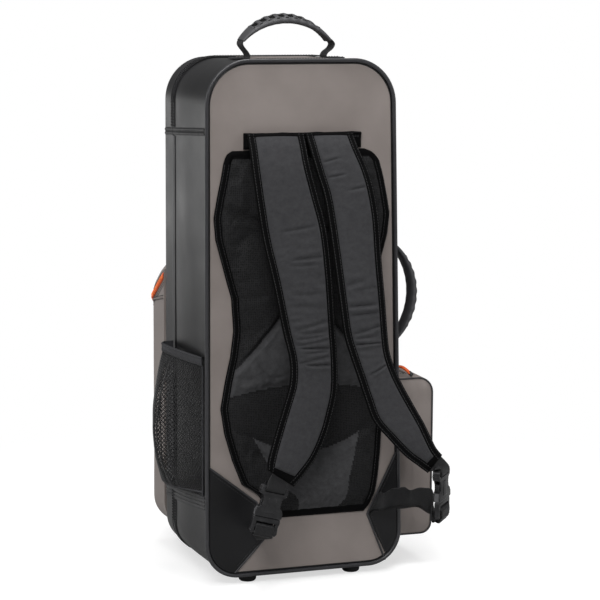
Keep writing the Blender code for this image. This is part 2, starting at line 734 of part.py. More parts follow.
def build_buckle(side, strap, matrix):
    """Side-release buckle: the socket on the strap, and the plug that slides out of it along its length.

    In the buckle's own frame x runs across it, -z along it from the strap to the webbing, y through it.
    """
    half_slot = WEB_WIDTH / 2 + FIT
    slot = rectangle(-half_slot, -BAR_WALL - BAR_SLOT, half_slot, -BAR_WALL)
    socket = as_mesh(plate(
        "buckle_socket_" + side, socket_outline(), "Y", -BUCKLE_THICKNESS / 2, BUCKLE_THICKNESS / 2,
        ACETAL, strap, holes=[slot], at=matrix,
    ))
    wide, thick = SOCKET_CAVITY_WIDTH / 2, SOCKET_CAVITY_THICKNESS / 2
    deep = SOCKET_LENGTH - SOCKET_CAVITY_DEPTH
    cavity = cutter_box(
        "cavity_" + side + "_cutter", (-wide, -thick, -SOCKET_LENGTH - OVERRUN), (wide, thick, -deep),
        strap, matrix,
    )
    cut(socket, cavity)
    low = -SOCKET_LENGTH + WINDOW_FROM_MOUTH
    tall = thick - FIT
    window = cutter_box(
        "window_" + side + "_cutter", (-BUCKLE_WIDTH, -tall, low), (BUCKLE_WIDTH, tall, low + WINDOW_LENGTH),
        strap, matrix,
    )
    cut(socket, window)

    plug_frame = frame("buckle_plug_" + side + "_frame", matrix.translation, strap)
    mouth = -SOCKET_LENGTH - FIT
    inner = SOCKET_CAVITY_WIDTH / 2 - FIT
    half = BUCKLE_WIDTH / 2
    guide = PRONG_WIDTH / 2
    tip = mouth + PRONG_LENGTH
    foot = mouth - PLUG_BASE_LENGTH
    outline = [
        (-half, foot), (half, foot), (half, mouth), (inner, mouth), (inner, tip),
        (inner - PRONG_WIDTH, tip), (inner - PRONG_WIDTH, mouth), (guide, mouth), (guide, tip),
        (-guide, tip), (-guide, mouth), (PRONG_WIDTH - inner, mouth), (PRONG_WIDTH - inner, tip),
        (-inner, tip), (-inner, mouth), (-half, mouth),
    ]
    holes = []
    for k in range(2):
        low = foot + BAR_WALL + k * (BAR_SLOT + BAR_WALL)
        holes.append(rectangle(-half_slot, low, half_slot, low + BAR_SLOT))
    plate(
        "buckle_plug_" + side, outline, "Y", -PLUG_THICKNESS / 2, PLUG_THICKNESS / 2, ACETAL,
        plug_frame, holes=holes, at=matrix,
    )
    return plug_frame


def web(name, rows, body):
    """Webbing along rows of edge points."""
    return quilt(name, rows, WEB_THICKNESS, lambda across, along: 1.0, WEBBING, body)


def build_strap(side, table, matrix, web_table):
    """A shoulder strap that swings on the yoke, with its buckle and the webbing at both ends."""
    root = strap_root_y()
    strap = frame("strap_" + side + "_frame", (0, root, CASE_HEIGHT * table[0][1]), SHELL)
    rows = strap_rows(table, STRAP_ALONG, STRAP_ACROSS, root)
    quilt("strap_pad_" + side, rows, STRAP_THICKNESS, strap_fill, STRAP_CLOTH, strap)
    build_buckle(side, strap, matrix)

    half = WEB_WIDTH / 2
    end = (rows[-1][0] + rows[-1][-1]) / 2
    across = (rows[-1][-1] - rows[-1][0]).normalized()
    onward = (end - (rows[-2][0] + rows[-2][-1]) / 2).normalized()
    first = [end + onward * WEB_SEAM + across * k for k in (-half, half)]
    last = [matrix @ Vector((k, 0, WEB_SEAM + WEB_THICKNESS / 4)) for k in (-half, half)]
    web("strap_web_" + side, [[first[k].lerp(last[k], f) for k in (0, 1)] for f in (0, 0.5, 1)], strap)

    plug_foot = -SOCKET_LENGTH - FIT - PLUG_BASE_LENGTH - WEB_SEAM - WEB_THICKNESS / 2
    loop = WEB_LOOP_SHARE * WEB_WIDTH
    from_bar = [[matrix @ Vector((k, back, plug_foot)) for k in (-half, half)] for back in (0, loop)]
    on = strap_rows(web_table, len(web_table) - 1, 1, SKIN_FACE - FIT - PATCH_THICKNESS - WEB_SEAM)
    web("lower_web_" + side, eased(from_bar + on, WEB_ALONG), SHELL)


def eased(rows, along):
    """Rows read at even steps with their corners eased."""
    flat = [[*row[0], *row[1]] for row in rows]
    read = [table_row(flat, j / along) for j in range(along + 1)]
    return [[Vector(row[:3]), Vector(row[3:])] for row in read]


def buckle_matrix(shares, tilt, turn):
    across, up, bow = shares
    top = (CASE_WIDTH * across, strap_root_y() - STRAP_BOW * bow, CASE_HEIGHT * up)
    return Matrix.Translation(top) @ Matrix.Rotation(turn, 4, "Z") @ Matrix.Rotation(tilt, 4, "Y")


def build_straps():
    build_strap_yoke()
    left = buckle_matrix(LEFT_BUCKLE_SHARES, LEFT_BUCKLE_TILT, LEFT_BUCKLE_TURN)
    build_strap("left", LEFT_STRAP_SHARES, left, LEFT_WEB_SHARES)
    right = buckle_matrix(RIGHT_BUCKLE_SHARES, RIGHT_BUCKLE_TILT, RIGHT_BUCKLE_TURN)
    build_strap("right", RIGHT_STRAP_SHARES, right, RIGHT_WEB_SHARES)


def mesh_bulge(depth_share, height_share):
    """How far the mesh stands off the wall: closed at its foot and edges, drawn in at the mouth."""
    across = 1 - (2 * depth_share - 1) ** 2
    belly = math.sin(math.pi * min(1.0, height_share) ** 0.9) ** 0.8 if 0 < height_share < 1 else 0.0
    mouth = MESH_MOUTH * height_share
    return across * (MESH_BULGE * belly * (1 - 0.25 * height_share) + mouth)


def build_mesh_pocket():
    """Net bottle pocket with an elastic hem, sewn down along the low band and both edges."""
    face = LEFT_WALL_X - FIT - MESH_THICKNESS
    foot, head = BAND_LOW + LOW_BAND_HEIGHT + SEAM, MESH_TOP
    rows = []
    for j in range(MESH_ROWS + 1):
        v = j / MESH_ROWS
        z = between(foot, head, v)
        row = []
        for i in range(MESH_COLUMNS + 1):
            u = i / MESH_COLUMNS
            row.append((face - mesh_bulge(u, v), between(MESH_BACK, MESH_FRONT, u), z))
        rows.append(row)
    quilt("mesh_pocket", rows, MESH_THICKNESS, lambda across, along: 1.0, MESH_CLOTH, SHELL)
    hem = []
    for z in (MESH_TOP + SEAM, MESH_TOP + HEM_HEIGHT):
        hem.append([
            (face - HEM_THICKNESS / 2 - mesh_bulge(i / MESH_COLUMNS, 1.0),
             between(MESH_BACK, MESH_FRONT, i / MESH_COLUMNS), z)
            for i in range(MESH_COLUMNS + 1)
        ])
    quilt("mesh_hem", hem, HEM_THICKNESS, lambda across, along: 1.0, WEBBING, SHELL)


def side_profile(inset=0.0, wall_gap=FIT):
    """The side pocket seen from behind: its inner side leans with the case's wall."""
    out = bell_wall_x(SIDE_FOOT) + SIDE_STANDOUT
    corners = [
        (bell_wall_x(SIDE_FOOT) + wall_gap, SIDE_FOOT), (out, SIDE_FOOT),
        (out, SIDE_HEAD), (bell_wall_x(SIDE_HEAD) + wall_gap, SIDE_HEAD),
    ]
    return rounded(corners, [0, SIDE_FOOT_RADIUS, SIDE_TOP_RADIUS, 0], inset)


def build_side_pocket():
    """Accessory pocket on the bell side: gusset, pipings, zipper and a flap that opens outwards."""
    pocket = as_mesh(plate("side_pocket", side_profile(), "Y", SIDE_BACK, SIDE_FRONT, TAUPE, SHELL))
    out = bell_wall_x(SIDE_FOOT) + SIDE_STANDOUT - SIDE_SKIN
    inner = [
        (0, SIDE_FOOT + SIDE_SKIN), (out, SIDE_FOOT + SIDE_SKIN),
        (out, SIDE_HEAD - SIDE_SKIN), (0, SIDE_HEAD - SIDE_SKIN),
    ]
    inner = rounded(inner, [0, SIDE_FOOT_RADIUS - SIDE_SKIN, SIDE_TOP_RADIUS - SIDE_SKIN, 0])
    cut(pocket, cutter_plate(
        "side_hollow_cutter", inner, "Y", SIDE_BACK + SIDE_SKIN, SIDE_FRONT - SIDE_SKIN, SHELL,
    ))
    wall = bell_wall_x(SIDE_HEAD)
    zip_end = wall + SIDE_ZIP_WIDTH
    flap_end = zip_end + SIDE_FLAP_WIDTH
    back, front = SIDE_BACK + SIDE_FLAP_MARGIN, SIDE_FRONT - SIDE_FLAP_MARGIN
    flap_back = back + SIDE_FLAP_START
    mouth = [(0, back), (zip_end, back), (zip_end, flap_back), (flap_end, flap_back)]
    mouth += [(flap_end, front), (0, front)]
    low, high = SIDE_HEAD - SIDE_SKIN, SIDE_HEAD
    cut(pocket, cutter_plate("side_mouth_cutter", mouth, "Z", low - SIDE_SKIN, high + OVERRUN, SHELL))

    zip_outline = rectangle(wall + SEAM, low, zip_end - FIT, high)
    plate("side_zipper", zip_outline, "Y", back + FIT, front - FIT, TAPE, SHELL)
    flap_frame = frame("side_flap_frame", (flap_end - FIT, (flap_back + front) / 2, high), SHELL)
    flap_outline = rectangle(zip_end + FIT, low, flap_end - SEAM, high)
    plate("side_flap", flap_outline, "Y", flap_back + FIT, front - FIT, TAUPE, flap_frame)

    trim = side_profile(SIDE_PIPING_RADIUS)[1:-1]
    proud = SIDE_PIPING_RADIUS + FIT
    for row, y in (("back", SIDE_BACK - proud), ("front", SIDE_FRONT + proud)):
        tube("side_piping_" + row, [(x, y, z) for x, z in trim], SIDE_PIPING_RADIUS, PIPING, SHELL)

    turn = Matrix(((0, 0, -1), (0, 1, 0), (1, 0, 0))).to_4x4()
    spot = Matrix.Translation((wall + SIDE_ZIP_WIDTH / 2, SIDE_SLIDER_Y, high + FIT))
    build_slider("side", spot @ turn, SHELL, crosswise=True)


def slider_shape(name, body, matrix, crosswise):
    """Zipper slider: a block with two ears for its pull. x stands out from the zipper, the pull hangs to -z.

    Its length runs along z, or along y where the pull hangs across the zipper.
    """
    wide, tall = SLIDER_WIDTH / 2, SLIDER_LENGTH / 2
    if crosswise:
        wide, tall = tall, wide
    outline = rounded(rectangle(-wide, -tall, wide, tall), [SLIDER_WIDTH / 3] * 4, steps=2)
    block = as_mesh(plate(name, outline, "X", 0, SLIDER_THICKNESS, METAL, body, at=matrix))
    for side, low, high in (("a", -EAR_OUTER, -EAR_INNER), ("b", EAR_INNER, EAR_OUTER)):
        ear = cutter_box(
            name + "_ear_" + side + "_cutter", (SLIDER_THICKNESS / 2, low, -EAR_LENGTH / 2),
            (SLIDER_THICKNESS + EAR_HEIGHT, high, EAR_LENGTH / 2), body, matrix,
        )
        cut(block, ear, "UNION")
    return block


def build_slider(name, matrix, carrier, crosswise=False):
    """A slider with a pull that hangs from its ears."""
    slider = frame(name + "_slider_frame", matrix.translation, carrier)
    slider_shape(name + "_slider", slider, matrix, crosswise)
    turn_x = SLIDER_THICKNESS + EAR_HEIGHT / 2
    pull = frame(name + "_pull_frame", matrix @ Vector((turn_x, 0, 0)), slider)
    neck, tab = PULL_WIDTH / 2, PULL_TAB_WIDTH / 2
    outline = [
        (-tab, -PULL_LENGTH), (tab, -PULL_LENGTH), (tab, -PULL_NECK), (neck, -PULL_NECK),
        (neck, PULL_HEAD), (-neck, PULL_HEAD), (-neck, -PULL_NECK), (-tab, -PULL_NECK),
    ]
    start = turn_x - PULL_THICKNESS / 2
    plate(name + "_pull", outline, "X", start, start + PULL_THICKNESS, METAL, pull, at=matrix)


def build_main_sliders():
    """Two sliders that meet on the bell side, above the side handle."""
    lean = Matrix.Rotation(-math.atan2(CASE_FLARE, CASE_HEIGHT), 4, "Y")
    for name, share in (("upper", UPPER_SLIDER_SHARE), ("lower", LOWER_SLIDER_SHARE)):
        z = CASE_HEIGHT * share
        x = bell_wall_x(z) + FIT + TAPE_THICKNESS + FIT
        build_slider(name, Matrix.Translation((x, SPLIT_DEPTH, z)) @ lean, SHELL)


def arch_circle(half_span, rise):
    """Radius of an arch, and the angle that half of it turns."""
    radius = (half_span ** 2 + rise ** 2) / (2 * rise)
    return radius, math.asin(half_span / radius)


def arch_outline(half_span, rise, apex):
    """Handle grip seen from its side, on its own centre line: rises to its apex, thinner at both ends."""
    radius, half_angle = arch_circle(half_span, rise)
    centre = apex - radius
    outer, inner = [], []
    for step in range(HANDLE_STEPS + 1):
        share = step / HANDLE_STEPS
        angle = between(half_angle, -half_angle, share)
        thin = between(HANDLE_THICKNESS, HANDLE_END_THICKNESS, abs(2 * share - 1) ** 2)
        outer.append((radius * math.sin(angle), centre + radius * math.cos(angle)))
        inner.append(((radius - thin) * math.sin(angle), centre + (radius - thin) * math.cos(angle)))
    return outer + inner[::-1]


def leg_outline(sign, half_span, rise, apex):
    """Webbing leg: on from the grip's end, down and in to the case, then out again flat on it."""
    radius, half_angle = arch_circle(half_span, rise)
    outward = Vector((math.sin(half_angle), math.cos(half_angle)))
    onward = Vector((outward.y, -outward.x))
    end = Vector((half_span, apex - rise)) - outward * HANDLE_END_THICKNESS / 2 + onward * SEAM
    outer, inner = (end + outward * k * LEG_THICKNESS / 2 for k in (1, -1))
    bend = [point + onward * LEG_THICKNESS for point in (outer, inner)]
    knee = half_span - LEG_INSET
    foot_end = knee + LEG_FOOT_LENGTH
    points = [
        (knee - LEG_THICKNESS, FIT), (foot_end, FIT), (foot_end, FIT + LEG_THICKNESS),
        (knee + LEG_THICKNESS, FIT + LEG_THICKNESS), bend[0], outer, inner, bend[1],
        (knee - LEG_THICKNESS, FIT + LEG_THICKNESS),
    ]
    return [(sign * x, z) for x, z in points]


def build_handle(name, matrix, ends, arch):
    """Arched moulded grip over two webbing legs. z stands out from the wall, x runs along the handle."""
    grip_frame = frame(name + "_frame", matrix @ Vector((0, 0, HANDLE_TURN_HEIGHT)), SHELL)
    half = HANDLE_WIDTH / 2
    outline = arch_outline(*arch)
    grip = as_mesh(plate(name + "_grip", outline, "Y", -half, half, GRIP_RUBBER, grip_frame, at=matrix))
    round_off = grip.modifiers.new("rounding", "BEVEL")
    round_off.width = HANDLE_END_THICKNESS / 3
    round_off.segments = 1
    round_off.limit_method = "ANGLE"
    wide = half - LEG_THICKNESS / 2
    for end, sign in zip(ends, (-1, 1)):
        outline = leg_outline(sign, *arch)
        as_mesh(plate(name + "_leg_" + end, outline, "Y", -wide, wide, WEBBING, SHELL, at=matrix))


def build_handles():
    top = Matrix.Translation((0, HANDLE_DEPTH, CASE_HEIGHT))
    build_handle("top_handle", top, ("left", "right"), TOP_ARCH)
    reach = TOP_ARCH[0] - LEG_INSET - LEG_THICKNESS - SEAM
    ends = rectangle(-reach, TOP_PATCH_BACK, reach, SPLIT_DEPTH - TOP_PATCH_FRONT_GAP)
    patch = rounded(ends, [BUCKLE_CORNER] * 4, steps=2)
    plate("top_patch", patch, "Z", CASE_HEIGHT + FIT, CASE_HEIGHT + FIT + TOP_PATCH_THICKNESS, TAUPE, SHELL)
    turned = Matrix.Rotation(-math.atan2(CASE_FLARE, CASE_HEIGHT), 4, "Y")
    out = Matrix(((0, 0, 1), (0, 1, 0), (-1, 0, 0))).to_4x4()
    height = CASE_HEIGHT * SIDE_HANDLE_SHARE
    side = Matrix.Translation((bell_wall_x(height), SIDE_HANDLE_DEPTH, height))
    build_handle("side_handle", side @ turned @ out, ("upper", "lower"), SIDE_ARCH)


def build_lid():
    """Foam lid half with its face, piping and padding."""
    rings = rolled(case_outline, SPLIT_DEPTH + FIT, CASE_DEPTH, LID_EDGE, EDGE_STEPS)
    tray("lid_shell", rings, WALL, BLACK_LEATHER, LID)
    reach = LID_EDGE + TRIM_RADIUS
    inset = reach + TRIM_RADIUS + 2 * FIT
    low = POCKET_HEAD + 2 * SKIN - inset
    arch = case_outline(reach)[2 * (CORNER_STEPS + 1):]
    foot = POCKET_HEAD + TRIM_RADIUS + SKIN
    arch = [(bell_wall_x(foot) - reach, foot), *arch, (LEFT_WALL_X + reach, foot)]
    tube("front_piping", [(x, CASE_DEPTH + FIT + TRIM_RADIUS, z) for x, z in arch], TRIM_RADIUS, PIPING, LID)
    corners = [(LEFT_WALL_X, low), (bell_wall_x(low), low), *CASE_CORNERS[2:]]
    outline = rounded(corners, [inset, inset, TOP_RADIUS, TOP_RADIUS], inset)
    plate("front_panel", outline, "Y", CASE_DEPTH + FIT, CASE_DEPTH + FIT + SKIN, TAUPE, LID)
    floor = CASE_DEPTH - WALL
    plate(
        "lid_pad", case_outline(WALL + LID_PAD_PLAY), "Y", floor - FIT - LID_PAD_THICKNESS, floor - FIT,
        PLUSH, LID,
    )


def pocket_ring(share, grow=0.0):
    """Outline of the front pocket at a share of its standout, and how far out that is.

    The dome slopes down towards the front, and all edges roll in on the pocket's edge radius.
    """
    roll = POCKET_EDGE + grow
    base = CASE_DEPTH + FIT
    straight = POCKET_STANDOUT - POCKET_EDGE
    if share < 0.5:
        y, inset = base + straight * share * 2, 0.0
    else:
        angle = (share - 0.5) * math.pi
        y, inset = base + straight + roll * math.sin(angle), roll * (1 - math.cos(angle))
    depth_share = (y - base) / POCKET_STANDOUT
    drop = POCKET_DROP * depth_share ** 2
    left = LEFT_WALL_X + POCKET_SIDE_INSET
    head = POCKET_HEAD - drop
    corners = [
        (left, POCKET_FOOT), (bell_wall_x(POCKET_FOOT) - POCKET_SIDE_INSET, POCKET_FOOT),
        (bell_wall_x(head) - POCKET_SIDE_INSET, head), (left, head),
    ]
    radii = [FOOT_RADIUS, FOOT_RADIUS, POCKET_DOME, POCKET_DOME]
    return y, rounded(corners, radii, inset - grow)


def pocket_skin(name, grow, thickness, look, body, collection=PARTS):
    """The front pocket's rolled skin, grown outwards and given its thickness inwards."""
    bm = bmesh.new()
    rings = []
    for k in range(POCKET_RINGS + 1):
        y, outline = pocket_ring(k / POCKET_RINGS, grow)
        rings.append([bm.verts.new((x, y, z)) for x, z in outline])
    count = len(rings[0])
    for low, high in zip(rings, rings[1:]):
        for i in range(count):
            j = (i + 1) % count
            bm.faces.new((low[i], high[i], high[j], low[j]))
    cap = bm.faces.new(rings[-1])
    bmesh.ops.recalc_face_normals(bm, faces=bm.faces)
    cap.normal_update()
    if cap.normal.y < 0:
        bmesh.ops.reverse_faces(bm, faces=bm.faces)
    obj = from_bmesh(name, bm, look, body, collection)
    skin = obj.modifiers.new("skin", "SOLIDIFY")
    skin.thickness = thickness
    skin.offset = -1
    skin.use_even_offset = True
    return smooth(obj)


def above_zip(name, start, end, body):
    """Box helper over the slanting plane of the front zipper, from start to end away from it."""
    slope = Matrix.Rotation(ZIP_SLOPE, 4, "X")
    spot = Matrix.Translation((0, CASE_DEPTH, ZIP_BACK_Z))
    reach = CASE_WIDTH
    return cutter_box(name, (-reach, -reach, start), (reach, reach, end), body, spot @ slope)


def build_front_pocket():
    """Music pocket on the lid: body below the orange zipper, flap above it."""
    body = pocket_skin("front_pocket", 0, POCKET_SKIN, TAUPE, LID)
    cut(body, above_zip("pocket_mouth_cutter", 0, CASE_HEIGHT, LID))
    hinge_z = POCKET_HEAD + FIT
    flap_frame = frame("front_flap_frame", (0, CASE_DEPTH + FLAP_HINGE_INSET, hinge_z), LID)
    flap = pocket_skin("front_flap", 0, POCKET_SKIN, TAUPE, flap_frame)
    cut(flap, above_zip("flap_cutter", SEAM, CASE_HEIGHT, flap_frame), "INTERSECT")
    grow = 2 * FIT + ORANGE_TAPE_THICKNESS
    tape = pocket_skin("front_zipper", grow, ORANGE_TAPE_THICKNESS, ORANGE, LID)
    cut(tape, above_zip("tape_cutter", -ORANGE_TAPE_WIDTH, -FIT, LID), "INTERSECT")

    y, height = zip_front_point()
    tilt = Matrix.Rotation(math.radians(90), 4, "Z")
    out = CASE_DEPTH + FIT + POCKET_STANDOUT + grow + FIT
    spot = Matrix.Translation((FRONT_SLIDER_X, out, height))
    build_slider("front", spot @ tilt, LID, crosswise=True)


def zip_front_point():
    """Where the slanting zipper meets the pocket's front face."""
    y = CASE_DEPTH + FIT + POCKET_STANDOUT
    run = y - CASE_DEPTH
    return y, ZIP_BACK_Z + run * math.tan(ZIP_SLOPE) - ORANGE_TAPE_WIDTH / 2


def cavity_outline():
    """The saxophone's bed: body tube on the hinge side, bow at the foot, bell on the other side."""
    left = LEFT_WALL_X + WALL
    right = bell_wall_x(0) - WALL
    rim = 2 * WALL
    corners = [
        (left + WALL, rim), (right - rim, rim), (right - WALL, BELL_MOUTH),
        (BOX_LEFT - rim, BELL_MOUTH), (BOX_LEFT - rim - WALL, CASE_HEIGHT - 3 * WALL),
        (LEFT_WALL_X + NECK_INSET, CASE_HEIGHT - 3 * WALL),
    ]
    radii = [CAVITY_RADIUS * share for share in (3, 3, 0.5, 0.5, 0.9, 0.9)]
    return rounded(corners, radii)


def build_inside():
    """Foam bed with its cavities, and the accessory box's lid, which opens towards the case's lid."""
    bed = as_mesh(plate(
        "sax_bed", case_outline(WALL + BED_PLAY), "Y", WALL + FIT, BED_FRONT, PLUSH, SHELL,
    ))
    cut(bed, cutter_plate("sax_cutter", cavity_outline(), "Y", BED_FLOOR, BED_FRONT + OVERRUN, SHELL))
    radii = [BOX_RADIUS, BOX_HINGE_RADIUS, BOX_HINGE_RADIUS, BOX_RADIUS]
    step = rounded(rectangle(BOX_LEFT, BOX_FOOT, BOX_RIGHT, BOX_HEAD), radii, steps=2)
    cut(bed, cutter_plate("box_step_cutter", step, "Y", BOX_STEP, BED_FRONT + OVERRUN, SHELL))
    box = rounded(rectangle(BOX_LEFT, BOX_FOOT, BOX_RIGHT, BOX_HEAD), [BOX_RADIUS] * 4, BOX_LEDGE, steps=2)
    cut(bed, cutter_plate("box_cutter", box, "Y", BED_FLOOR, BED_FRONT + OVERRUN, SHELL))
    thickness = BOX_LID_THICKNESS
    margin = thickness / 2 + SEAM
    hinge = (BOX_RIGHT - margin, BOX_STEP + FIT + thickness / 2, (BOX_FOOT + BOX_HEAD) / 2)
    lid_frame = frame("accessory_lid_frame", hinge, SHELL)
    outline = rounded(rectangle(BOX_LEFT, BOX_FOOT, BOX_RIGHT, BOX_HEAD), radii, margin, steps=2)
    plate("accessory_lid", outline, "Y", BOX_STEP + FIT, BOX_STEP + FIT + thickness, PLUSH, lid_frame)


def set_on_feet():
    """Moves the whole case so that its box stands on the origin, by the middle of its foot."""
    bpy.context.view_layer.update()
    graph = bpy.context.evaluated_depsgraph_get()
    points = []
    for obj in PARTS.objects:
        if obj.type in ("MESH", "CURVE"):
            shape = obj.evaluated_get(graph)
            mesh = shape.to_mesh()
            points += [shape.matrix_world @ vert.co for vert in mesh.vertices]
            shape.to_mesh_clear()
    low = [min(point[axis] for point in points) for axis in range(3)]
    high = [max(point[axis] for point in points) for axis in range(3)]
    SHELL.location = (-(low[0] + high[0]) / 2, -(low[1] + high[1]) / 2, -low[2])


build_shell()
build_corner_patches()
build_zipper_and_hinge()
build_feet()
build_back_pad()
build_straps()
build_mesh_pocket()
build_side_pocket()
build_main_sliders()
build_handles()
build_lid()
build_front_pocket()
build_inside()
set_on_feet()
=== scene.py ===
"""Looks of a backpack case for an alto saxophone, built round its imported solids.

Metres. Pieces are made in the case's own frame, as the solids were: x = 0 in the middle, y = 0 on the strap
side, z = 0 at the foot of the foam body. Each is then set down where the solids stand.
"""
import math

import bmesh
import bpy
import numpy as np
from mathutils import Matrix, Vector, noise


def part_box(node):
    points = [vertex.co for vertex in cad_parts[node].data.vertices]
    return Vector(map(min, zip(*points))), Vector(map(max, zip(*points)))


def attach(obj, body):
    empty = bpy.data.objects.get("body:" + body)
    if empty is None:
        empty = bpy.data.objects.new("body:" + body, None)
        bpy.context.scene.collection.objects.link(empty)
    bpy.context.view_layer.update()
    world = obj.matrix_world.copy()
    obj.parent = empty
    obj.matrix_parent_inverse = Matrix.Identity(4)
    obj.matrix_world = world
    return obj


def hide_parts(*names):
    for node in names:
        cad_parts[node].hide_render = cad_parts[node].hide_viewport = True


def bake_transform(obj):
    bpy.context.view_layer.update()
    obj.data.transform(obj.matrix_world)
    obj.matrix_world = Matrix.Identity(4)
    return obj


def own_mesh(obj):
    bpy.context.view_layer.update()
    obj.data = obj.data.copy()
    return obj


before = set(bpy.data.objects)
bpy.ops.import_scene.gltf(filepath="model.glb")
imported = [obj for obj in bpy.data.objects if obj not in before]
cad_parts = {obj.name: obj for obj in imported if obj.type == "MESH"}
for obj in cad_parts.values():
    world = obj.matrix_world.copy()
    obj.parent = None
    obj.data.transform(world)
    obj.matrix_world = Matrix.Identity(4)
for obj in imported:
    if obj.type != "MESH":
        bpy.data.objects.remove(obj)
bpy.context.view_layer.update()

# Case
CASE_HEIGHT = 0.650
CASE_WIDTH = 0.246
CASE_FLARE = 0.016
CASE_DEPTH = 0.190
SPLIT = 0.138
TOP_RADIUS = 0.055
FOOT_RADIUS = 0.042
WALL = 0.012
LID_EDGE = 0.014
FIT = 0.0003
SKIN = 0.002
PIPING_RADIUS = 0.0026
TRIM_RADIUS = 0.0015
PANEL_FACE = -FIT - SKIN - FIT
LEFT_WALL = -CASE_WIDTH / 2
PITCH = 0.005

# Case frame to the place where the solids stand
SHELL_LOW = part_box("back_shell")[0]
HOME = Vector((SHELL_LOW.x + CASE_WIDTH / 2, SHELL_LOW.y, SHELL_LOW.z))

CASE_CORNERS = (
    (LEFT_WALL, 0), (CASE_WIDTH / 2 + CASE_FLARE, 0), (CASE_WIDTH / 2, CASE_HEIGHT), (LEFT_WALL, CASE_HEIGHT),
)
CASE_RADII = (FOOT_RADIUS, FOOT_RADIUS, TOP_RADIUS, TOP_RADIUS)


def bell_wall(z):
    """Where the bell-side wall is at height z."""
    return CASE_WIDTH / 2 + CASE_FLARE * (1 - z / CASE_HEIGHT)


def between(a, b, share):
    return a + (b - a) * share


def smooth_step(low, high, value):
    """0 below low, 1 above high, eased in between."""
    share = np.clip((value - low) / (high - low), 0, 1)
    return share * share * (3 - 2 * share)


def rumple(place, size, seed=0.0):
    """Soft noise of about -1 to 1, with features of the given size in metres."""
    return noise.noise(Vector(place) / size + Vector((seed, 7.3 * seed, 3.1)))


# Materials
def linear(level):
    return level / 12.92 if level <= 0.04045 else ((level + 0.055) / 1.055) ** 2.4


def colour(code):
    return (*(linear(int(code[k:k + 2], 16) / 255) for k in (0, 2, 4)), 1.0)


def add(tree, kind, settings, inputs):
    """Adds a node with its settings and its inputs, which are values or other nodes' outputs."""
    node = tree.nodes.new("ShaderNode" + kind)
    for key, value in settings.items():
        setattr(node, key, value)
    for key, value in inputs.items():
        if isinstance(value, bpy.types.NodeSocket):
            tree.links.new(value, node.inputs[key])
        else:
            node.inputs[key].default_value = value
    return node.outputs


def surface(name, where="Object", **constants):
    """A new material with its shader's constant values, and the coordinates that its patterns lie in."""
    made = bpy.data.materials.new(name)
    made.use_nodes = True
    shader = made.node_tree.nodes["Principled BSDF"]
    for key, value in constants.items():
        shader.inputs[key.replace("_", " ")].default_value = value
    return made, made.node_tree, shader, add(made.node_tree, "TexCoord", {}, {})[where]


def dress(tree, shader, colours, tone, roughness, height, depth, strength=1.0):
    """Two colours and two roughnesses mixed by a tone, and a relief of a real depth."""
    mixed = add(tree, "Mix", {"data_type": "RGBA"}, {0: tone, 6: colour(colours[0]), 7: colour(colours[1])})
    tree.links.new(mixed[2], shader.inputs["Base Color"])
    rough = add(tree, "MapRange", {}, {"Value": tone, "To Min": roughness[0], "To Max": roughness[1]})
    tree.links.new(rough[0], shader.inputs["Roughness"])
    bump = add(tree, "Bump", {}, {"Height": height, "Distance": depth, "Strength": strength})
    tree.links.new(bump[0], shader.inputs["Normal"])


# A wave texture's bands are this far apart at scale one
WAVE = math.pi / 10


def leathercloth(name, colours, roughness, grain, gloss=0.4):
    """Polyurethane leathercloth over foam: embossed pebble grain, soft satin gloss, faint mottling."""
    made, tree, shader, place = surface(name, Specular_IOR_Level=gloss)
    mottle = add(tree, "TexNoise", {}, {"Vector": place, "Scale": 16.0, "Detail": 5.0})[0]
    pebbles = add(tree, "TexVoronoi", {}, {"Vector": place, "Scale": 1 / grain, "Randomness": 0.9})[0]
    creases = add(tree, "TexNoise", {}, {"Vector": place, "Scale": 2.4 / grain, "Detail": 3.0})[0]
    height = add(tree, "Math", {"operation": "MULTIPLY_ADD"}, {0: creases, 1: 0.35, 2: pebbles})[0]
    tone = add(tree, "MapRange", {}, {"Value": mottle, "From Min": 0.3, "From Max": 0.7})[0]
    dress(tree, shader, colours, tone, roughness, height, 0.00012, 0.35)
    return made


def vinyl(name, colours):
    """Extruded vinyl welting: smooth and glossy, with faint drag lines."""
    made, tree, shader, place = surface(name, Specular_IOR_Level=0.45)
    drag = add(tree, "TexNoise", {}, {"Vector": place, "Scale": 260.0, "Detail": 4.0})[0]
    dress(tree, shader, colours, drag, (0.30, 0.42), drag, 0.0002, 0.3)
    return made


def spacer_mesh():
    """Knitted polyester spacer mesh: small holes 2.2 mm apart between dull raised ribs, the holes painted darker as
    shade.
    """
    made, tree, shader, place = surface("black_spacer_mesh", Sheen_Weight=0.02, Specular_IOR_Level=0.12)
    flat = add(tree, "VectorMath", {"operation": "MULTIPLY"}, {0: place, 1: (1.0, 0.0, 1.0)})[0]
    cells = add(tree, "TexVoronoi", {"voronoi_dimensions": "3D"}, {
        "Vector": flat, "Scale": 1 / 0.0022, "Randomness": 0.3,
    })[0]
    ribs = add(tree, "MapRange", {"interpolation_type": "SMOOTHSTEP"}, {
        "Value": cells, "From Min": 0.18, "From Max": 0.5,
    })[0]
    # The holes' darker colour is painted shade.
    dress(tree, shader, ("0B0B0B", "202021"), ribs, (0.95, 0.72), ribs, 0.0005, 0.6)
    return made


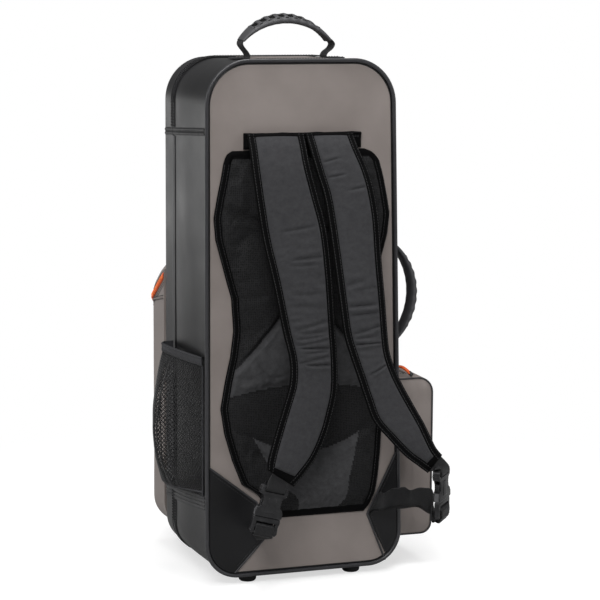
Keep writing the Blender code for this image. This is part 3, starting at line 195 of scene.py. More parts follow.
def woven(name, colours, pitch, roughness, depth, sheen=0.03):
    """Plain-woven polyester yarn: small crossing floats with an uneven dye."""
    made, tree, shader, place = surface(name, "UV", Sheen_Weight=sheen, Specular_IOR_Level=0.18)
    ends = {"wave_type": "BANDS", "bands_direction": "X"}
    picks = {"wave_type": "BANDS", "bands_direction": "Y"}
    warp = add(tree, "TexWave", ends, {"Vector": place, "Scale": WAVE / pitch, "Distortion": 0.6})[1]
    weft = add(tree, "TexWave", picks, {"Vector": place, "Scale": WAVE / pitch, "Distortion": 0.6})[1]
    floats = add(tree, "Math", {"operation": "MULTIPLY"}, {0: warp, 1: weft})[0]
    dye = add(tree, "TexNoise", {}, {"Vector": place, "Scale": 130.0, "Detail": 6.0, "Roughness": 0.7})[0]
    tone = add(tree, "Math", {"operation": "MULTIPLY_ADD"}, {0: floats, 1: 0.5, 2: dye})[0]
    shade = add(tree, "MapRange", {}, {"Value": tone, "From Min": 0.35, "From Max": 1.1})[0]
    dress(tree, shader, colours, shade, roughness, floats, depth, 0.6)
    return made


def webbing(name, colours, pitch, depth, gloss=0.2, roughness=(0.80, 0.60)):
    """Polyester webbing: tight ribs across its run, with a slight silky lustre."""
    made, tree, shader, place = surface(name, "UV", Sheen_Weight=0.1 * gloss, Specular_IOR_Level=gloss)
    across = {"wave_type": "BANDS", "bands_direction": "Y"}
    along = {"wave_type": "BANDS", "bands_direction": "X"}
    ribs = add(tree, "TexWave", across, {"Vector": place, "Scale": WAVE / pitch, "Distortion": 0.4})[1]
    yarn = add(tree, "TexWave", along, {"Vector": place, "Scale": WAVE / (pitch * 1.6), "Distortion": 1.2})[1]
    height = add(tree, "Math", {"operation": "MULTIPLY_ADD"}, {0: yarn, 1: 0.4, 2: ribs})[0]
    tone = add(tree, "MapRange", {}, {"Value": height, "From Max": 1.4})[0]
    dress(tree, shader, colours, tone, roughness, height, depth, 0.7)
    return made


def moulded(name, colours, roughness, texture, depth, least=0.25, gloss=0.35):
    """Injection-moulded part: a fine spark-eroded texture, and edges painted lighter as a highlight, patchy by noise.
    """
    made, tree, shader, place = surface(name, Specular_IOR_Level=gloss)
    grain = add(tree, "TexNoise", {}, {"Vector": place, "Scale": 1 / texture, "Detail": 2.0})[0]
    highlight_patches = add(tree, "TexNoise", {}, {"Vector": place, "Scale": 90.0, "Detail": 6.0})[0]
    # Sharp edges, found by pointiness, get the second colour: a painted highlight along them.
    edge = add(tree, "NewGeometry", {}, {})["Pointiness"]
    edge_wear_and_highlight = add(tree, "MapRange", {}, {"Value": edge, "From Min": 0.5, "From Max": 0.62})[0]
    tone = add(tree, "Math", {"operation": "MULTIPLY_ADD", "use_clamp": True}, {0: edge_wear_and_highlight, 1: highlight_patches, 2: least})[0]
    dress(tree, shader, colours, tone, roughness, grain, depth, 0.4)
    return made


def blackened_zinc():
    """Die-cast zinc under black lacquer: hard gloss, grey where the pull rubs."""
    made, tree, shader, place = surface("blackened_zinc", Metallic=1.0)
    cast = add(tree, "TexNoise", {}, {"Vector": place, "Scale": 900.0, "Detail": 4.0})[0]
    edge = add(tree, "NewGeometry", {}, {})["Pointiness"]
    edge_wear_and_highlight = add(tree, "MapRange", {}, {"Value": edge, "From Min": 0.5, "From Max": 0.6})[0]
    dress(tree, shader, ("232326", "5A5A5E"), edge_wear_and_highlight, (0.34, 0.26), cast, 0.00004, 0.3)
    return made


def plush():
    """Brushed nylon plush lining: short matt pile with paler tips where it is stroked."""
    made, tree, shader, place = surface(
        "charcoal_plush", Sheen_Weight=0.45, Sheen_Roughness=0.4, Specular_IOR_Level=0.1)
    pile = add(tree, "TexNoise", {}, {"Vector": place, "Scale": 1600.0, "Detail": 3.0})[0]
    nap = add(tree, "TexNoise", {}, {"Vector": place, "Scale": 22.0, "Detail": 5.0, "Distortion": 1.5})[0]
    dress(tree, shader, ("1C1C20", "37373D"), nap, (1.0, 0.9), pile, 0.0006, 0.6)
    return made


def yarn(name, colours, twist):
    """Twisted polyester thread or knotted net yarn: fine slanting plies."""
    made, tree, shader, place = surface(name, Sheen_Weight=0.15, Specular_IOR_Level=0.35)
    plies = add(tree, "TexWave", {"bands_direction": "DIAGONAL"}, {"Vector": place, "Scale": WAVE / twist})[1]
    dress(tree, shader, colours, plies, (0.75, 0.6), plies, 0.0001, 0.5)
    return made


TAUPE = leathercloth("taupe_leathercloth", ("766E6A", "827A76"), (0.50, 0.62), 0.0012)
BLACK_LEATHER = leathercloth("black_leathercloth", ("0D0D0E", "141416"), (0.36, 0.44), 0.0012, 0.24)
VINYL = vinyl("black_vinyl_piping", ("202022", "303033"))
# Near-black tubes laid in the narrow gaps on both sides of the back piping's bead: painted shadow.
PIPING_GAP_SHADOW = vinyl("piping_gap_painted_shadow", ("010101", "040404"))
SPACER = spacer_mesh()
STRAP_FACE = woven("charcoal_strap_weave", ("2A2A2C", "3E3E40"), 0.0011, (0.9, 0.75), 0.00025, 0.05)
PANEL_WEAVE = woven("charcoal_pad_weave", ("2E2E2F", "464648"), 0.0012, (0.9, 0.8), 0.00025)
BINDING = webbing("black_grosgrain_binding", ("020202", "070708"), 0.0012, 0.0003, 0.05)
WEBBING = webbing("black_polyester_webbing", ("060607", "151517"), 0.0013, 0.0004, 0.28, (0.55, 0.40))
LEG_WEBBING = webbing("charcoal_handle_webbing", ("1A1A1B", "363638"), 0.0018, 0.0004)
HEM_ELASTIC = webbing("black_hem_elastic", ("222224", "3E3E41"), 0.0014, 0.0003)
TAPE = woven("black_zipper_tape", ("070708", "131316"), 0.0009, (0.8, 0.65), 0.0002, 0.05)
ORANGE_TAPE = woven("orange_zipper_tape", ("C84A12", "F2692A"), 0.0009, (0.75, 0.6), 0.0002, 0.1)
ORANGE_YARN = yarn("orange_cord_yarn", ("C24008", "F4712C"), 0.0008)
# In the moulded looks the second colour is painted highlight on the edges, plus the least share of it everywhere.
COIL = moulded("black_nylon_coil", ("09090A", "232326"), (0.35, 0.5), 0.0004, 0.00003)
ORANGE_COIL = moulded("orange_nylon_coil", ("C94C14", "F98A4A"), (0.35, 0.5), 0.0004, 0.00003)
ACETAL = moulded("black_moulded_acetal", ("050506", "6A6A6C"), (0.24, 0.42), 0.0003, 0.00003, 0.01, 0.16)
GRIP_RUBBER = moulded("charcoal_moulded_rubber", ("252526", "59595C"), (0.5, 0.68), 0.0005, 0.00005)
FOOT_RUBBER = moulded("black_moulded_rubber", ("09090A", "1B1B1C"), (0.7, 0.85), 0.0006, 0.00006)
ZINC = blackened_zinc()
PLUSH = plush()
BAND_CLOTH = leathercloth("grey_band_leathercloth", ("1B1B1D", "272729"), (0.5, 0.62), 0.0011)
# The grip's slots and oval dents are coloured near-black: painted shade in those recesses.
GRIP_SHADE = moulded("grip_recess_painted_shade", ("050506", "101011"), (0.8, 0.9), 0.0005, 0.00003)
NET_YARN = yarn("black_net_yarn", ("060607", "161618"), 0.0011)
THREAD = yarn("black_sewing_thread", ("0C0C0D", "1C1C1E"), 0.0007)


# Shapes: each is (points, faces, UVs in metres for each corner, look number for each face)
def steps_of(line, closed=False):
    """Distance run along a line of points."""
    line = np.vstack([line, line[:1]]) if closed else line
    return np.concatenate([[0.0], np.cumsum(np.linalg.norm(np.diff(line, axis=0), axis=1))])


def skin(grid, wrap=False, around=False, ends=False, looks=None):
    """Surface over a grid of points, closed along its rows if wrap, along its columns if around."""
    grid = np.asarray(grid, float)
    rows, columns = grid.shape[:2]
    u = steps_of(grid[rows // 2], wrap)
    v = steps_of(grid[:, columns // 2], around)
    faces, uvs, which = [], [], []
    for r in range(rows if around else rows - 1):
        s = (r + 1) % rows
        for c in range(columns if wrap else columns - 1):
            d = (c + 1) % columns
            faces.append((r * columns + c, r * columns + d, s * columns + d, s * columns + c))
            uvs += [(u[c], v[r]), (u[c + 1], v[r]), (u[c + 1], v[r + 1]), (u[c], v[r + 1])]
            which.append(looks(r, c) if looks else 0)
    if ends:
        for row in (0, rows - 1):
            faces.append(tuple(range(row * columns, (row + 1) * columns)))
            flat = grid[row] - grid[row].mean(0)
            flat = flat[:, np.argsort(-np.ptp(flat, axis=0))[:2]]
            uvs += [tuple(p) for p in flat]
            which.append(looks(min(row, rows - 2), 0) if looks else 0)
    return grid.reshape(-1, 3), faces, uvs, which


def normals_of(sheet, facing):
    """Normals of a grid of points, all on the side of facing."""
    along, across = np.gradient(sheet, axis=0), np.gradient(sheet, axis=1)
    normal = np.cross(across, along)
    normal /= np.maximum(np.linalg.norm(normal, axis=2, keepdims=True), 1e-12)
    return normal * math.copysign(1, (normal.reshape(-1, 3).mean(0) * np.array(facing)).sum())


def slab(sheet, front, back, facing, looks=None, back_look=0, rim_look=0):
    """Closed cushion, strap or band on a grid: front and back heights along the grid's normal."""
    sheet = np.asarray(sheet, float)
    normal = normals_of(sheet, facing)
    high = sheet + normal * np.asarray(front, float)[..., None]
    low = sheet - normal * np.asarray(back, float)[..., None]
    points, faces, uvs, which = skin(high, looks=looks)
    rows, columns = sheet.shape[:2]
    count = rows * columns
    u, v = steps_of(sheet[rows // 2]), steps_of(sheet[:, columns // 2])
    for k in range(len(faces)):
        faces.append(tuple(i + count for i in faces[k][::-1]))
        uvs += uvs[4 * k:4 * k + 4][::-1]
        which.append(back_look)
    edge = [(0, c) for c in range(columns)] + [(r, columns - 1) for r in range(1, rows)]
    edge += [(rows - 1, c) for c in range(columns - 2, -1, -1)] + [(r, 0) for r in range(rows - 2, 0, -1)]
    for (r, c), (s, d) in zip(edge, edge[1:] + edge[:1]):
        faces.append((s * columns + d, r * columns + c, r * columns + c + count, s * columns + d + count))
        uvs += [(u[d], v[s]), (u[c], v[r]), (u[c], v[r]), (u[d], v[s])]
        which.append(rim_look)
    return np.vstack([points, low.reshape(-1, 3)]), faces, uvs, which


def cloth_grid(rows, columns, at):
    """Points of a piece of cloth and its heights, from a function of the shares up and along it."""
    both = [[at(r / (rows - 1), c / (columns - 1)) for c in range(columns)] for r in range(rows)]
    return [np.array([[pair[k] for pair in line] for line in both], float) for k in (0, 1)]


def tube(path, radius, sides=10, closed=False, look=0, flat=1.0, start=None):
    """Round wire along points, or flattened across its first direction."""
    path = np.asarray(path, float)
    count = len(path)
    radius = np.broadcast_to(radius, count)
    if closed:
        run = np.roll(path, -1, 0) - np.roll(path, 1, 0)
    else:
        run = np.gradient(path, axis=0)
    run /= np.maximum(np.linalg.norm(run, axis=1, keepdims=True), 1e-12)
    side = np.array(start if start is not None else (0.31, 0.62, 0.72), float)
    grid = []
    for i in range(count):
        side = side - run[i] * (side @ run[i])
        side /= np.linalg.norm(side)
        other = np.cross(run[i], side)
        angles = np.arange(sides) / sides * 2 * math.pi
        ring = np.cos(angles)[:, None] * side * flat + np.sin(angles)[:, None] * other
        grid.append(path[i] + radius[i] * ring)
    return skin(grid, wrap=True, around=closed, ends=not closed, looks=lambda r, c: look)


def moved(shape, at):
    points = shape[0] @ np.array(at.to_3x3()).T + np.array(at.translation)
    return (points, *shape[1:])


def placed(name, data):
    """New object in the scene."""
    made = bpy.data.objects.new(name, data)
    bpy.context.scene.collection.objects.link(made)
    return made


def piece(name, shapes, looks, sharp=40):
    """New object of one or more shapes, wound outwards."""
    points, faces, uvs, which, base = [], [], [], [], 0
    for shape in shapes:
        points.append(shape[0])
        faces += [tuple(i + base for i in face) for face in shape[1]]
        uvs += shape[2]
        which += shape[3]
        base += len(shape[0])
    mesh = bpy.data.meshes.new(name)
    mesh.from_pydata(np.vstack(points).tolist(), [], faces)
    mesh.uv_layers.new(name="metres").data.foreach_set("uv", np.array(uvs, np.float32).ravel())
    for look in looks:
        mesh.materials.append(look)
    mesh.polygons.foreach_set("material_index", which)
    bm = bmesh.new()
    bm.from_mesh(mesh)
    bmesh.ops.recalc_face_normals(bm, faces=bm.faces)
    bm.to_mesh(mesh)
    bm.free()
    mesh.shade_smooth()
    for face in mesh.polygons:
        if len(face.vertices) > 12:
            face.use_smooth = False
    mesh.set_sharp_from_angle(angle=math.radians(sharp))
    return placed(name, mesh)


def settle(made, body, slot, *nodes):
    """Sets a piece down where the solids stand, for its nodes, and on its body if it has one."""
    made.data.transform(Matrix.Translation(HOME))
    if body:
        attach(made, body)
    if nodes:
        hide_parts(*nodes)
    return made


def outline(corners, radii, inset=0.0, pitch=PITCH, closing=True):
    """Points round a shape whose corners are turned on their radii, or on one radius, and drawn in by inset.

    The count of points doesn't depend on the inset, so that rings of one shape can be joined.
    """
    corners = [Vector(corner) for corner in corners]
    radii = [radii] * len(corners) if isinstance(radii, float) else radii
    arcs = []
    for i, radius in enumerate(radii):
        before, here, after = corners[i - 1], corners[i], corners[(i + 1) % len(corners)]
        back, on = (before - here).normalized(), (after - here).normalized()
        half = back.angle(on) / 2
        bend = 1 if back.x * on.y - back.y * on.x < 0 else -1
        steps = max(3, round(radius * (math.pi - 2 * half) / pitch)) if radius > 0 else 0
        turned = max(radius, inset * bend)
        centre = here + (back + on).normalized() * turned / math.sin(half)
        start, end = (here + way * turned / math.tan(half) for way in (back, on))
        first, last = start - centre, end - centre
        angle = math.atan2(first.y, first.x)
        sweep = (math.atan2(last.y, last.x) - angle + math.pi) % (2 * math.pi) - math.pi
        turned -= inset * bend
        arc = [(angle + sweep * k / max(steps, 1)) for k in range(steps + 1)]
        arcs.append([centre + Vector((math.cos(a), math.sin(a))) * turned for a in arc])
    points = []
    for i, arc in enumerate(arcs):
        points += arc
        if i == len(arcs) - 1 and not closing:
            break
        after = arcs[(i + 1) % len(arcs)][0]
        count = max(1, round((corners[(i + 1) % len(corners)] - corners[i]).length / pitch))
        points += [arc[-1].lerp(after, k / count) for k in range(1, count)]
    return np.array([(p.x, p.y) for p in points])


def oblong(left, low, right, high):
    """Corners of an upright rectangle."""
    return [(left, low), (right, low), (right, high), (left, high)]


def case_outline(inset=0.0, closing=True):
    return outline(CASE_CORNERS, CASE_RADII, inset, PITCH, closing)


def ring_at(points, y):
    """Flat outline set upright at a depth."""
    return np.column_stack([points[:, 0], np.full(len(points), y), points[:, 1]])


def level_at(points, z):
    """Flat outline laid level at a height."""
    return np.column_stack([points, np.full(len(points), z)])


# Local x and y of a face, and the way out of it
ON_BACK = Matrix(((1, 0, 0), (0, 0, -1), (0, 1, 0))).to_4x4()
ON_FRONT = Matrix(((1, 0, 0), (0, 0, 1), (0, 1, 0))).to_4x4()


def plate(shape_at, thickness, edge, at, look=0):
    """Padded plate of an outline: square at its back, its front edge rolled off."""
    rings = [(0.0, 0.0), (0.0, max(thickness - edge, thickness * 0.1))]
    for k in range(1, 5):
        angle = k / 4 * math.pi / 2
        rings.append((edge * (1 - math.cos(angle)), thickness - edge * (1 - math.sin(angle))))
    rings.append((edge + 0.0004, thickness))
    grid = [level_at(shape_at(inset), out) for inset, out in rings]
    return moved(skin(grid, wrap=True, ends=True, looks=lambda r, c: look), at)


def resampled(path, pitch):
    """The same line with points an even pitch apart."""
    path = np.asarray(path, float)
    run = steps_of(path)
    wanted = np.linspace(0, run[-1], max(2, round(run[-1] / pitch) + 1))
    return np.column_stack([np.interp(wanted, run, path[:, k]) for k in range(path.shape[1])])


STITCH = 0.0027
STITCH_GAP = 0.0010
STITCH_RADIUS = 0.00038


def stitches(line, outs, look=0, sides=5):
    """Row of sewn stitches along a line, each dipping into the cloth at both ends.

    The way out of the cloth is one direction, or one for each point of the line.
    """
    both = resampled(np.hstack([line, np.broadcast_to(outs, line.shape)]), STITCH + STITCH_GAP)
    rows = []
    for a, b in zip(both, both[1:]):
        way = a[3:] / np.linalg.norm(a[3:])
        on = (b[:3] - a[:3]) * STITCH / (STITCH + STITCH_GAP)
        lift = (-STITCH_RADIUS, STITCH_RADIUS * 0.7, STITCH_RADIUS * 0.7, -STITCH_RADIUS)
        points = [a[:3] + on * k + way * up for k, up in zip((0, 0.2, 0.8, 1), lift)]
        rows.append(tube(points, STITCH_RADIUS, sides=sides, look=look, start=way))
    return rows


# Foam body
def sag(points, depth, size, seed):
    """Draws a wall's outline inwards by soft dents, longer along the wall than across it."""
    middle = points.mean(0)
    made = points.copy()
    for point in made:
        dent = 0.5 + 0.5 * rumple((point[0] / 2.2, point[1], point[2] / 2.2), size, seed)
        inwards = middle - point
        inwards[1] = 0
        point += inwards / max(np.linalg.norm(inwards), 1e-6) * depth * dent
    return made


def crown(y):
    """How far the hinge side of the gusset swells out at a depth."""
    return 0.0030 * math.sin(math.pi * min(max(y / SPLIT, 0.0), 1.0) ** 1.7)


def build_back_half():
    """Gusset of the back half: soft wall, turned rim and plush lining."""
    rings = [ring_at(case_outline(inset), y) for inset, y in ((0.0012, 0.0), (0.0003, 0.0006))]
    front = SPLIT - FIT
    count = round(front / 0.006)
    for k in range(count + 1):
        y = between(0.002, front - 0.0015, k / count)
        ring = sag(ring_at(case_outline(), y), 0.0006, 0.035, 1.0)
        ring[:, 0] -= crown(y) * smooth_step(0.09, 0.1225, -ring[:, 0])
        rings.append(ring)
    for inset, y in ((0.0005, front - 0.0005), (0.0015, front), (WALL - 0.0015, front)):
        rings.append(ring_at(case_outline(inset), y))
    rings += [ring_at(case_outline(WALL), y) for y in (front - 0.0015, WALL + 0.001)]
    rings.append(ring_at(case_outline(WALL + 0.001), WALL))
    lining = len(rings) - 5
    shape = skin(rings, wrap=True, ends=True, looks=lambda r, c: int(r >= lining))
    settle(piece("gusset_back", [shape], [BLACK_LEATHER, PLUSH]), "case", "black_leathercloth", "back_shell")

    inset = PIPING_RADIUS + 2 * FIT
    panel = plate(lambda more: case_outline(inset + more), SKIN, 0.0016, Matrix.Translation((0, -FIT, 0)) @ ON_BACK)
    settle(piece("panel_back", [panel], [TAUPE]), "case", "taupe_leathercloth", "back_panel")

    bead = ring_at(case_outline(), -FIT - PIPING_RADIUS)
    welt = [tube(bead, PIPING_RADIUS, sides=14, closed=True, start=(1, 0, 0))]
    # The two thin near-black tubes, one outside the bead and one between it and the panel, are painted shadow in those
    # gaps.
    for off, y, radius in ((-0.0003, 0.0002, 0.0005), (0.0037, -0.0021, 0.0010)):
        welt.append(tube(ring_at(case_outline(off), y), radius, sides=8, closed=True, look=1, start=(1, 0, 0)))
    settle(piece("piping_back", welt, [VINYL, PIPING_GAP_SHADOW]), "case", "black_piping", "back_piping")


def build_front_half():
    """Gusset of the lid half, its front edge rolled over the foam, with the same lining."""
    back = SPLIT + FIT
    rings = [ring_at(case_outline(WALL + 0.001), CASE_DEPTH - WALL)]
    rings += [ring_at(case_outline(WALL), y) for y in (CASE_DEPTH - WALL - 0.001, back + 0.0015)]
    for inset, y in ((WALL - 0.0015, back), (0.0015, back), (0.0005, back + 0.0005)):
        rings.append(ring_at(case_outline(inset), y))
    for k in range(7):
        y = between(back + 0.0015, CASE_DEPTH - LID_EDGE, k / 6)
        rings.append(sag(ring_at(case_outline(), y), 0.0005, 0.035, 2.0))
    for k in range(1, 9):
        angle = k / 8 * math.pi / 2
        inset = LID_EDGE * (1 - math.cos(angle))
        rings.append(ring_at(case_outline(inset), CASE_DEPTH - LID_EDGE * (1 - math.sin(angle))))
    rings.append(ring_at(case_outline(LID_EDGE + 0.001), CASE_DEPTH))
    shape = skin(rings, wrap=True, ends=True, looks=lambda r, c: int(r <= 2))
    settle(piece("gusset_lid", [shape], [BLACK_LEATHER, PLUSH]), "lid", "black_leathercloth", "lid_shell")


LEFT_PATCH = ((-0.1230, 0.1420), (-0.0568, 0.0930), (-0.0463, 0.0456), (-0.0864, 0.0))
RIGHT_PATCH = ((0.1390, 0.1450), (0.1067, 0.0940), (0.0932, 0.0670), (0.1188, 0.0))
PATCH = 0.0015


def shrunk(points, inset):
    """Dense outline, listed anticlockwise, drawn in by a small inset along its own normals."""
    on = np.roll(points, -1, 0) - np.roll(points, 1, 0)
    on /= np.maximum(np.linalg.norm(on, axis=1, keepdims=True), 1e-12)
    return points + np.column_stack([-on[:, 1], on[:, 0]]) * inset


def patch_outline(corners):
    """Edge of a corner patch: along the case's side, round its foot, then up over its inner points."""
    edge = case_outline(PIPING_RADIUS + 2 * FIT)
    (side, high), low = corners[0], corners[3][0]
    if side < 0:
        first = [p for p in edge[len(edge) // 2:] if p[1] < high]
        rim = [*first, *(p for p in edge[:len(edge) // 2] if p[0] < low and p[1] < high)]
        line = [np.array((rim[0][0], high)), *rim, np.array((low, rim[-1][1])), *corners[2:0:-1]]
    else:
        rim = [p for p in edge if p[0] > low and p[1] < high and p[0] > 0]
        line = [np.array((low, rim[0][1])), *rim, np.array((rim[-1][0], high)), *corners[1:3]]
    line = np.array([*line, line[0]])
    return resampled(line, 0.003)[:-1]


def build_corner_patches():
    """Leathercloth patches on the lower corners, each with a piped and stitched upper edge."""
    front = PANEL_FACE
    for side, corners in (("left", LEFT_PATCH), ("right", RIGHT_PATCH)):
        rim = patch_outline(corners)
        shapes = [plate(lambda inset, rim=rim: shrunk(rim, inset), PATCH, 0.0006,
                        Matrix.Translation((0, front, 0)) @ ON_BACK)]
        inner = case_outline(PIPING_RADIUS + 2 * FIT)[:, 0]
        edge = min(inner) if side == "left" else bell_wall(corners[0][1]) - PIPING_RADIUS - 2 * FIT
        line = resampled([(edge, corners[0][1]), corners[1], corners[2], (corners[3][0], 0.0038)], 0.004)
        shapes.append(tube(ring_at(line, front - 0.0009), 0.0013, sides=10, look=1))
        on = np.gradient(line, axis=0)
        on /= np.linalg.norm(on, axis=1, keepdims=True)
        inwards = np.column_stack([on[:, 1], -on[:, 0]]) * (1 if side == "left" else -1)
        row = ring_at(line + inwards * 0.0042, front - PATCH)[2:-2]
        shapes += stitches(row, (0, -1, 0), look=2)
        made = piece("corner_patch_" + side + "_leather", shapes, [BLACK_LEATHER, VINYL, THREAD])
        settle(made, "case", "black_leathercloth", "corner_patch_" + side)


# Back pad
PAD_FOOT, PAD_HEAD = 0.0712, 0.5395
PAD_MIDDLE, PAD_HALF = 0.0024, 0.1174
PAD_BORDER = 0.0095
PAD_ROW_SHARES = (
    (0.000, -0.415, 0.73), (0.018, -0.44, 0.795), (0.050, -0.45, 0.86), (0.068, -0.495, 0.875),
    (0.100, -0.68, 0.895), (0.168, -0.79, 0.92), (0.240, -0.875, 0.935), (0.310, -0.92, 0.93),
    (0.382, -0.87, 0.86), (0.450, -0.81, 0.80), (0.520, -0.775, 0.77), (0.608, -0.80, 0.80),
    (0.660, -0.86, 0.85), (0.715, -0.92, 0.92), (0.766, -0.975, 0.975), (0.822, -0.995, 1.00),
    (0.873, -0.96, 0.965), (0.926, -0.915, 0.92), (0.969, -0.885, 0.87), (0.990, -0.855, 0.80),
    (1.000, -0.79, 0.70),
)
# Quilting lines: height share at the pad's edges, rise share towards its middle, and how round the line is
PAD_LINE_SHARES = ((0.86, -0.10, 1), (0.39, 0.25, 1), (0.335, 0.03, 2), (0.28, -0.10, 2))


def pad_edges(share):
    """Left and right edge of the back pad at a share of its height."""
    table = np.array(PAD_ROW_SHARES)
    return [PAD_MIDDLE + PAD_HALF * np.interp(share, table[:, 0], table[:, k]) for k in (1, 2)]


def pad_lines(u):
    """Heights of the four quilting lines at u, from -1 at the pad's left edge to 1 at its right."""
    return [at_edge + rise * (1 - abs(u) ** power) for at_edge, rise, power in PAD_LINE_SHARES]


def inflated(sheet, pinned, pressure, facing, cap, frames=20):
    """Blows a grid of cloth outwards between its sewn points, and returns where its points come to rest."""
    rows, columns = sheet.shape[:2]
    points, faces, _, _ = skin(sheet)
    mesh = bpy.data.meshes.new("blown")
    mesh.from_pydata(points.tolist(), [], faces)
    blown = placed("blown", mesh)
    if mesh.polygons[0].normal @ Vector(facing) < 0:
        mesh.flip_normals()
    group = blown.vertex_groups.new(name="sewn")
    group.add([int(i) for i in np.flatnonzero(pinned.ravel())], 1.0, "REPLACE")
    cloth = blown.modifiers.new("cloth", "CLOTH")
    setup = cloth.settings
    setup.quality = 6
    setup.mass = 0.3
    setup.vertex_group_mass = group.name
    setup.use_pressure = True
    setup.uniform_pressure_force = pressure
    setup.effector_weights.gravity = 0
    setup.tension_stiffness = setup.compression_stiffness = 18
    setup.shear_stiffness = 8
    setup.bending_stiffness = 0.6
    setup.shrink_min = -0.035
    cloth.point_cache.frame_start, cloth.point_cache.frame_end = 1, frames
    for step in range(1, frames + 1):
        bpy.context.scene.frame_set(step)
    graph = bpy.context.evaluated_depsgraph_get()
    result = blown.evaluated_get(graph).to_mesh()
    ends = np.zeros(len(points) * 3)
    result.vertices.foreach_get("co", ends)
    bpy.data.objects.remove(blown)
    bpy.context.scene.frame_set(1)
    moves = ends.reshape(-1, 3) - points
    length = np.linalg.norm(moves, axis=1, keepdims=True)
    moves *= np.minimum(1, cap / np.maximum(length, 1e-9))
    return (points + moves).reshape(rows, columns, 3)


PAD_COLUMNS, PAD_ROWS = 61, 121


def refine(grid, times=1):
    """Splits every cell of a grid in four and eases it."""
    for _ in range(times):
        rows, columns = grid.shape[:2]
        fine = np.zeros((2 * rows - 1, 2 * columns - 1, 3))
        fine[::2, ::2] = grid
        fine[1::2, ::2] = (grid[1:] + grid[:-1]) / 2
        fine[:, 1::2] = (fine[:, 2::2] + fine[:, :-2:2]) / 2
        eased = fine.copy()
        eased[1:-1, 1:-1] = (
            fine[1:-1, 1:-1] * 4 + fine[:-2, 1:-1] + fine[2:, 1:-1] + fine[1:-1, :-2] + fine[1:-1, 2:]
        ) / 8
        grid = eased
    return grid


def build_back_pad():
    """Hourglass back pad: bound edge, quilted spacer mesh, two woven panels and a hollow lens between."""
    face = PANEL_FACE
    shares = np.linspace(0, 1, PAD_ROWS)
    sheet, spread = [], []
    for v in shares:
        left, right = pad_edges(v)
        border = PAD_BORDER / (right - left)
        bands = [0, 0.12, 0.4, 0.7, 0.95]
        inner = np.linspace(0, 1, PAD_COLUMNS - 2 * len(bands))
        u = np.concatenate([
            border * np.array(bands), border + (1 - 2 * border) * inner, 1 - border * np.array(bands[::-1]),
        ])
        sheet.append([(between(left, right, k), face, between(PAD_FOOT, PAD_HEAD, v)) for k in u])
        spread.append(2 * u - 1)
    sheet, spread = np.array(sheet), np.array(spread)
    tall = np.broadcast_to(shares[:, None], spread.shape)
    lines = np.array(pad_lines(spread))
    away = np.abs(tall[None] - lines) * (PAD_HEAD - PAD_FOOT)
    to_side = np.minimum(sheet[..., 0] - sheet[:, :1, 0], sheet[:, -1:, 0] - sheet[..., 0])
    to_end = np.minimum(tall, 1 - tall) * (PAD_HEAD - PAD_FOOT)
    to_edge = np.minimum(to_side, to_end)
    in_lens = (tall < lines[2]) & (tall > lines[3])
    crown = 1 - np.exp(-np.maximum(to_edge - PAD_BORDER, 0) / 0.010)
    channel = 1 - 0.75 * np.exp(-(away.min(0) / 0.0065) ** 2)
    height = 0.0034 + 0.0082 * crown * channel
    height = np.where(in_lens, 0.0034 + 0.0042 * crown * channel, height)
    height = np.where(to_edge < PAD_BORDER, 0.0026 + 0.0012 * np.sin(np.pi * to_edge / PAD_BORDER), height)
    height = np.where(to_edge < 0.0004, 0.0012, height)
    front = sheet.copy()
    front[..., 1] -= height
    pinned = (to_edge < PAD_BORDER + 0.001) | (away.min(0) < 0.0028) | in_lens
    front = inflated(front, pinned, 4.0, (0, -1, 0), 0.005)
    front[..., 1] = np.minimum(front[..., 1], face - 0.001)
    front = np.where((to_edge < 0.0004)[..., None], sheet - np.array((0, 0.0012, 0)), front)
    fine, back = refine(front), refine(sheet)
    u, v = (refine(np.repeat(a[..., None], 3, 2))[..., 0] for a in (spread, tall))
    edge = refine(np.repeat(to_edge[..., None], 3, 2))[..., 0]
    lines = np.array(pad_lines(u))
    woven_part = ((v > lines[2]) & (v < lines[1])) | ((v < lines[3]) & (np.abs(u) < 0.34 + 1.5 * v))
    bound = edge < PAD_BORDER - 0.0003

    def look(r, c):
        if bound[r, c] or bound[r + 1, c + 1]:
            return 2
        return int(woven_part[r, c])

    shapes = [slab(fine, 0, 0, (0, -1, 0), look, 0, 2)]
    points = shapes[0][0]
    points[len(points) // 2:] = back.reshape(-1, 3)
    for row in (0.0018, 0.0072):
        for side in (0, -1):
            line = []
            for r in range(8, 2 * PAD_ROWS - 9, 2):
                c = int(np.argmin(np.abs(np.abs(fine[r, :, 0] - fine[r, side, 0]) - row)))
                line.append(fine[r, c])
            shapes += stitches(np.array(line), (0, -1, 0), look=3)
    made = piece("back_pad_quilted", shapes, [SPACER, PANEL_WEAVE, BINDING, THREAD], sharp=70)
    settle(made, "case", "spacer_fabric", "back_pad")


# Shoulder straps
STRAP_BOW = 0.074
YOKE_THICKNESS = 0.006
WEB_SEAM = 0.00077
STRAP_ROOT = PANEL_FACE - YOKE_THICKNESS - WEB_SEAM - 0.45 * 0.014 / 2
STRAP_BINDING = 0.0095
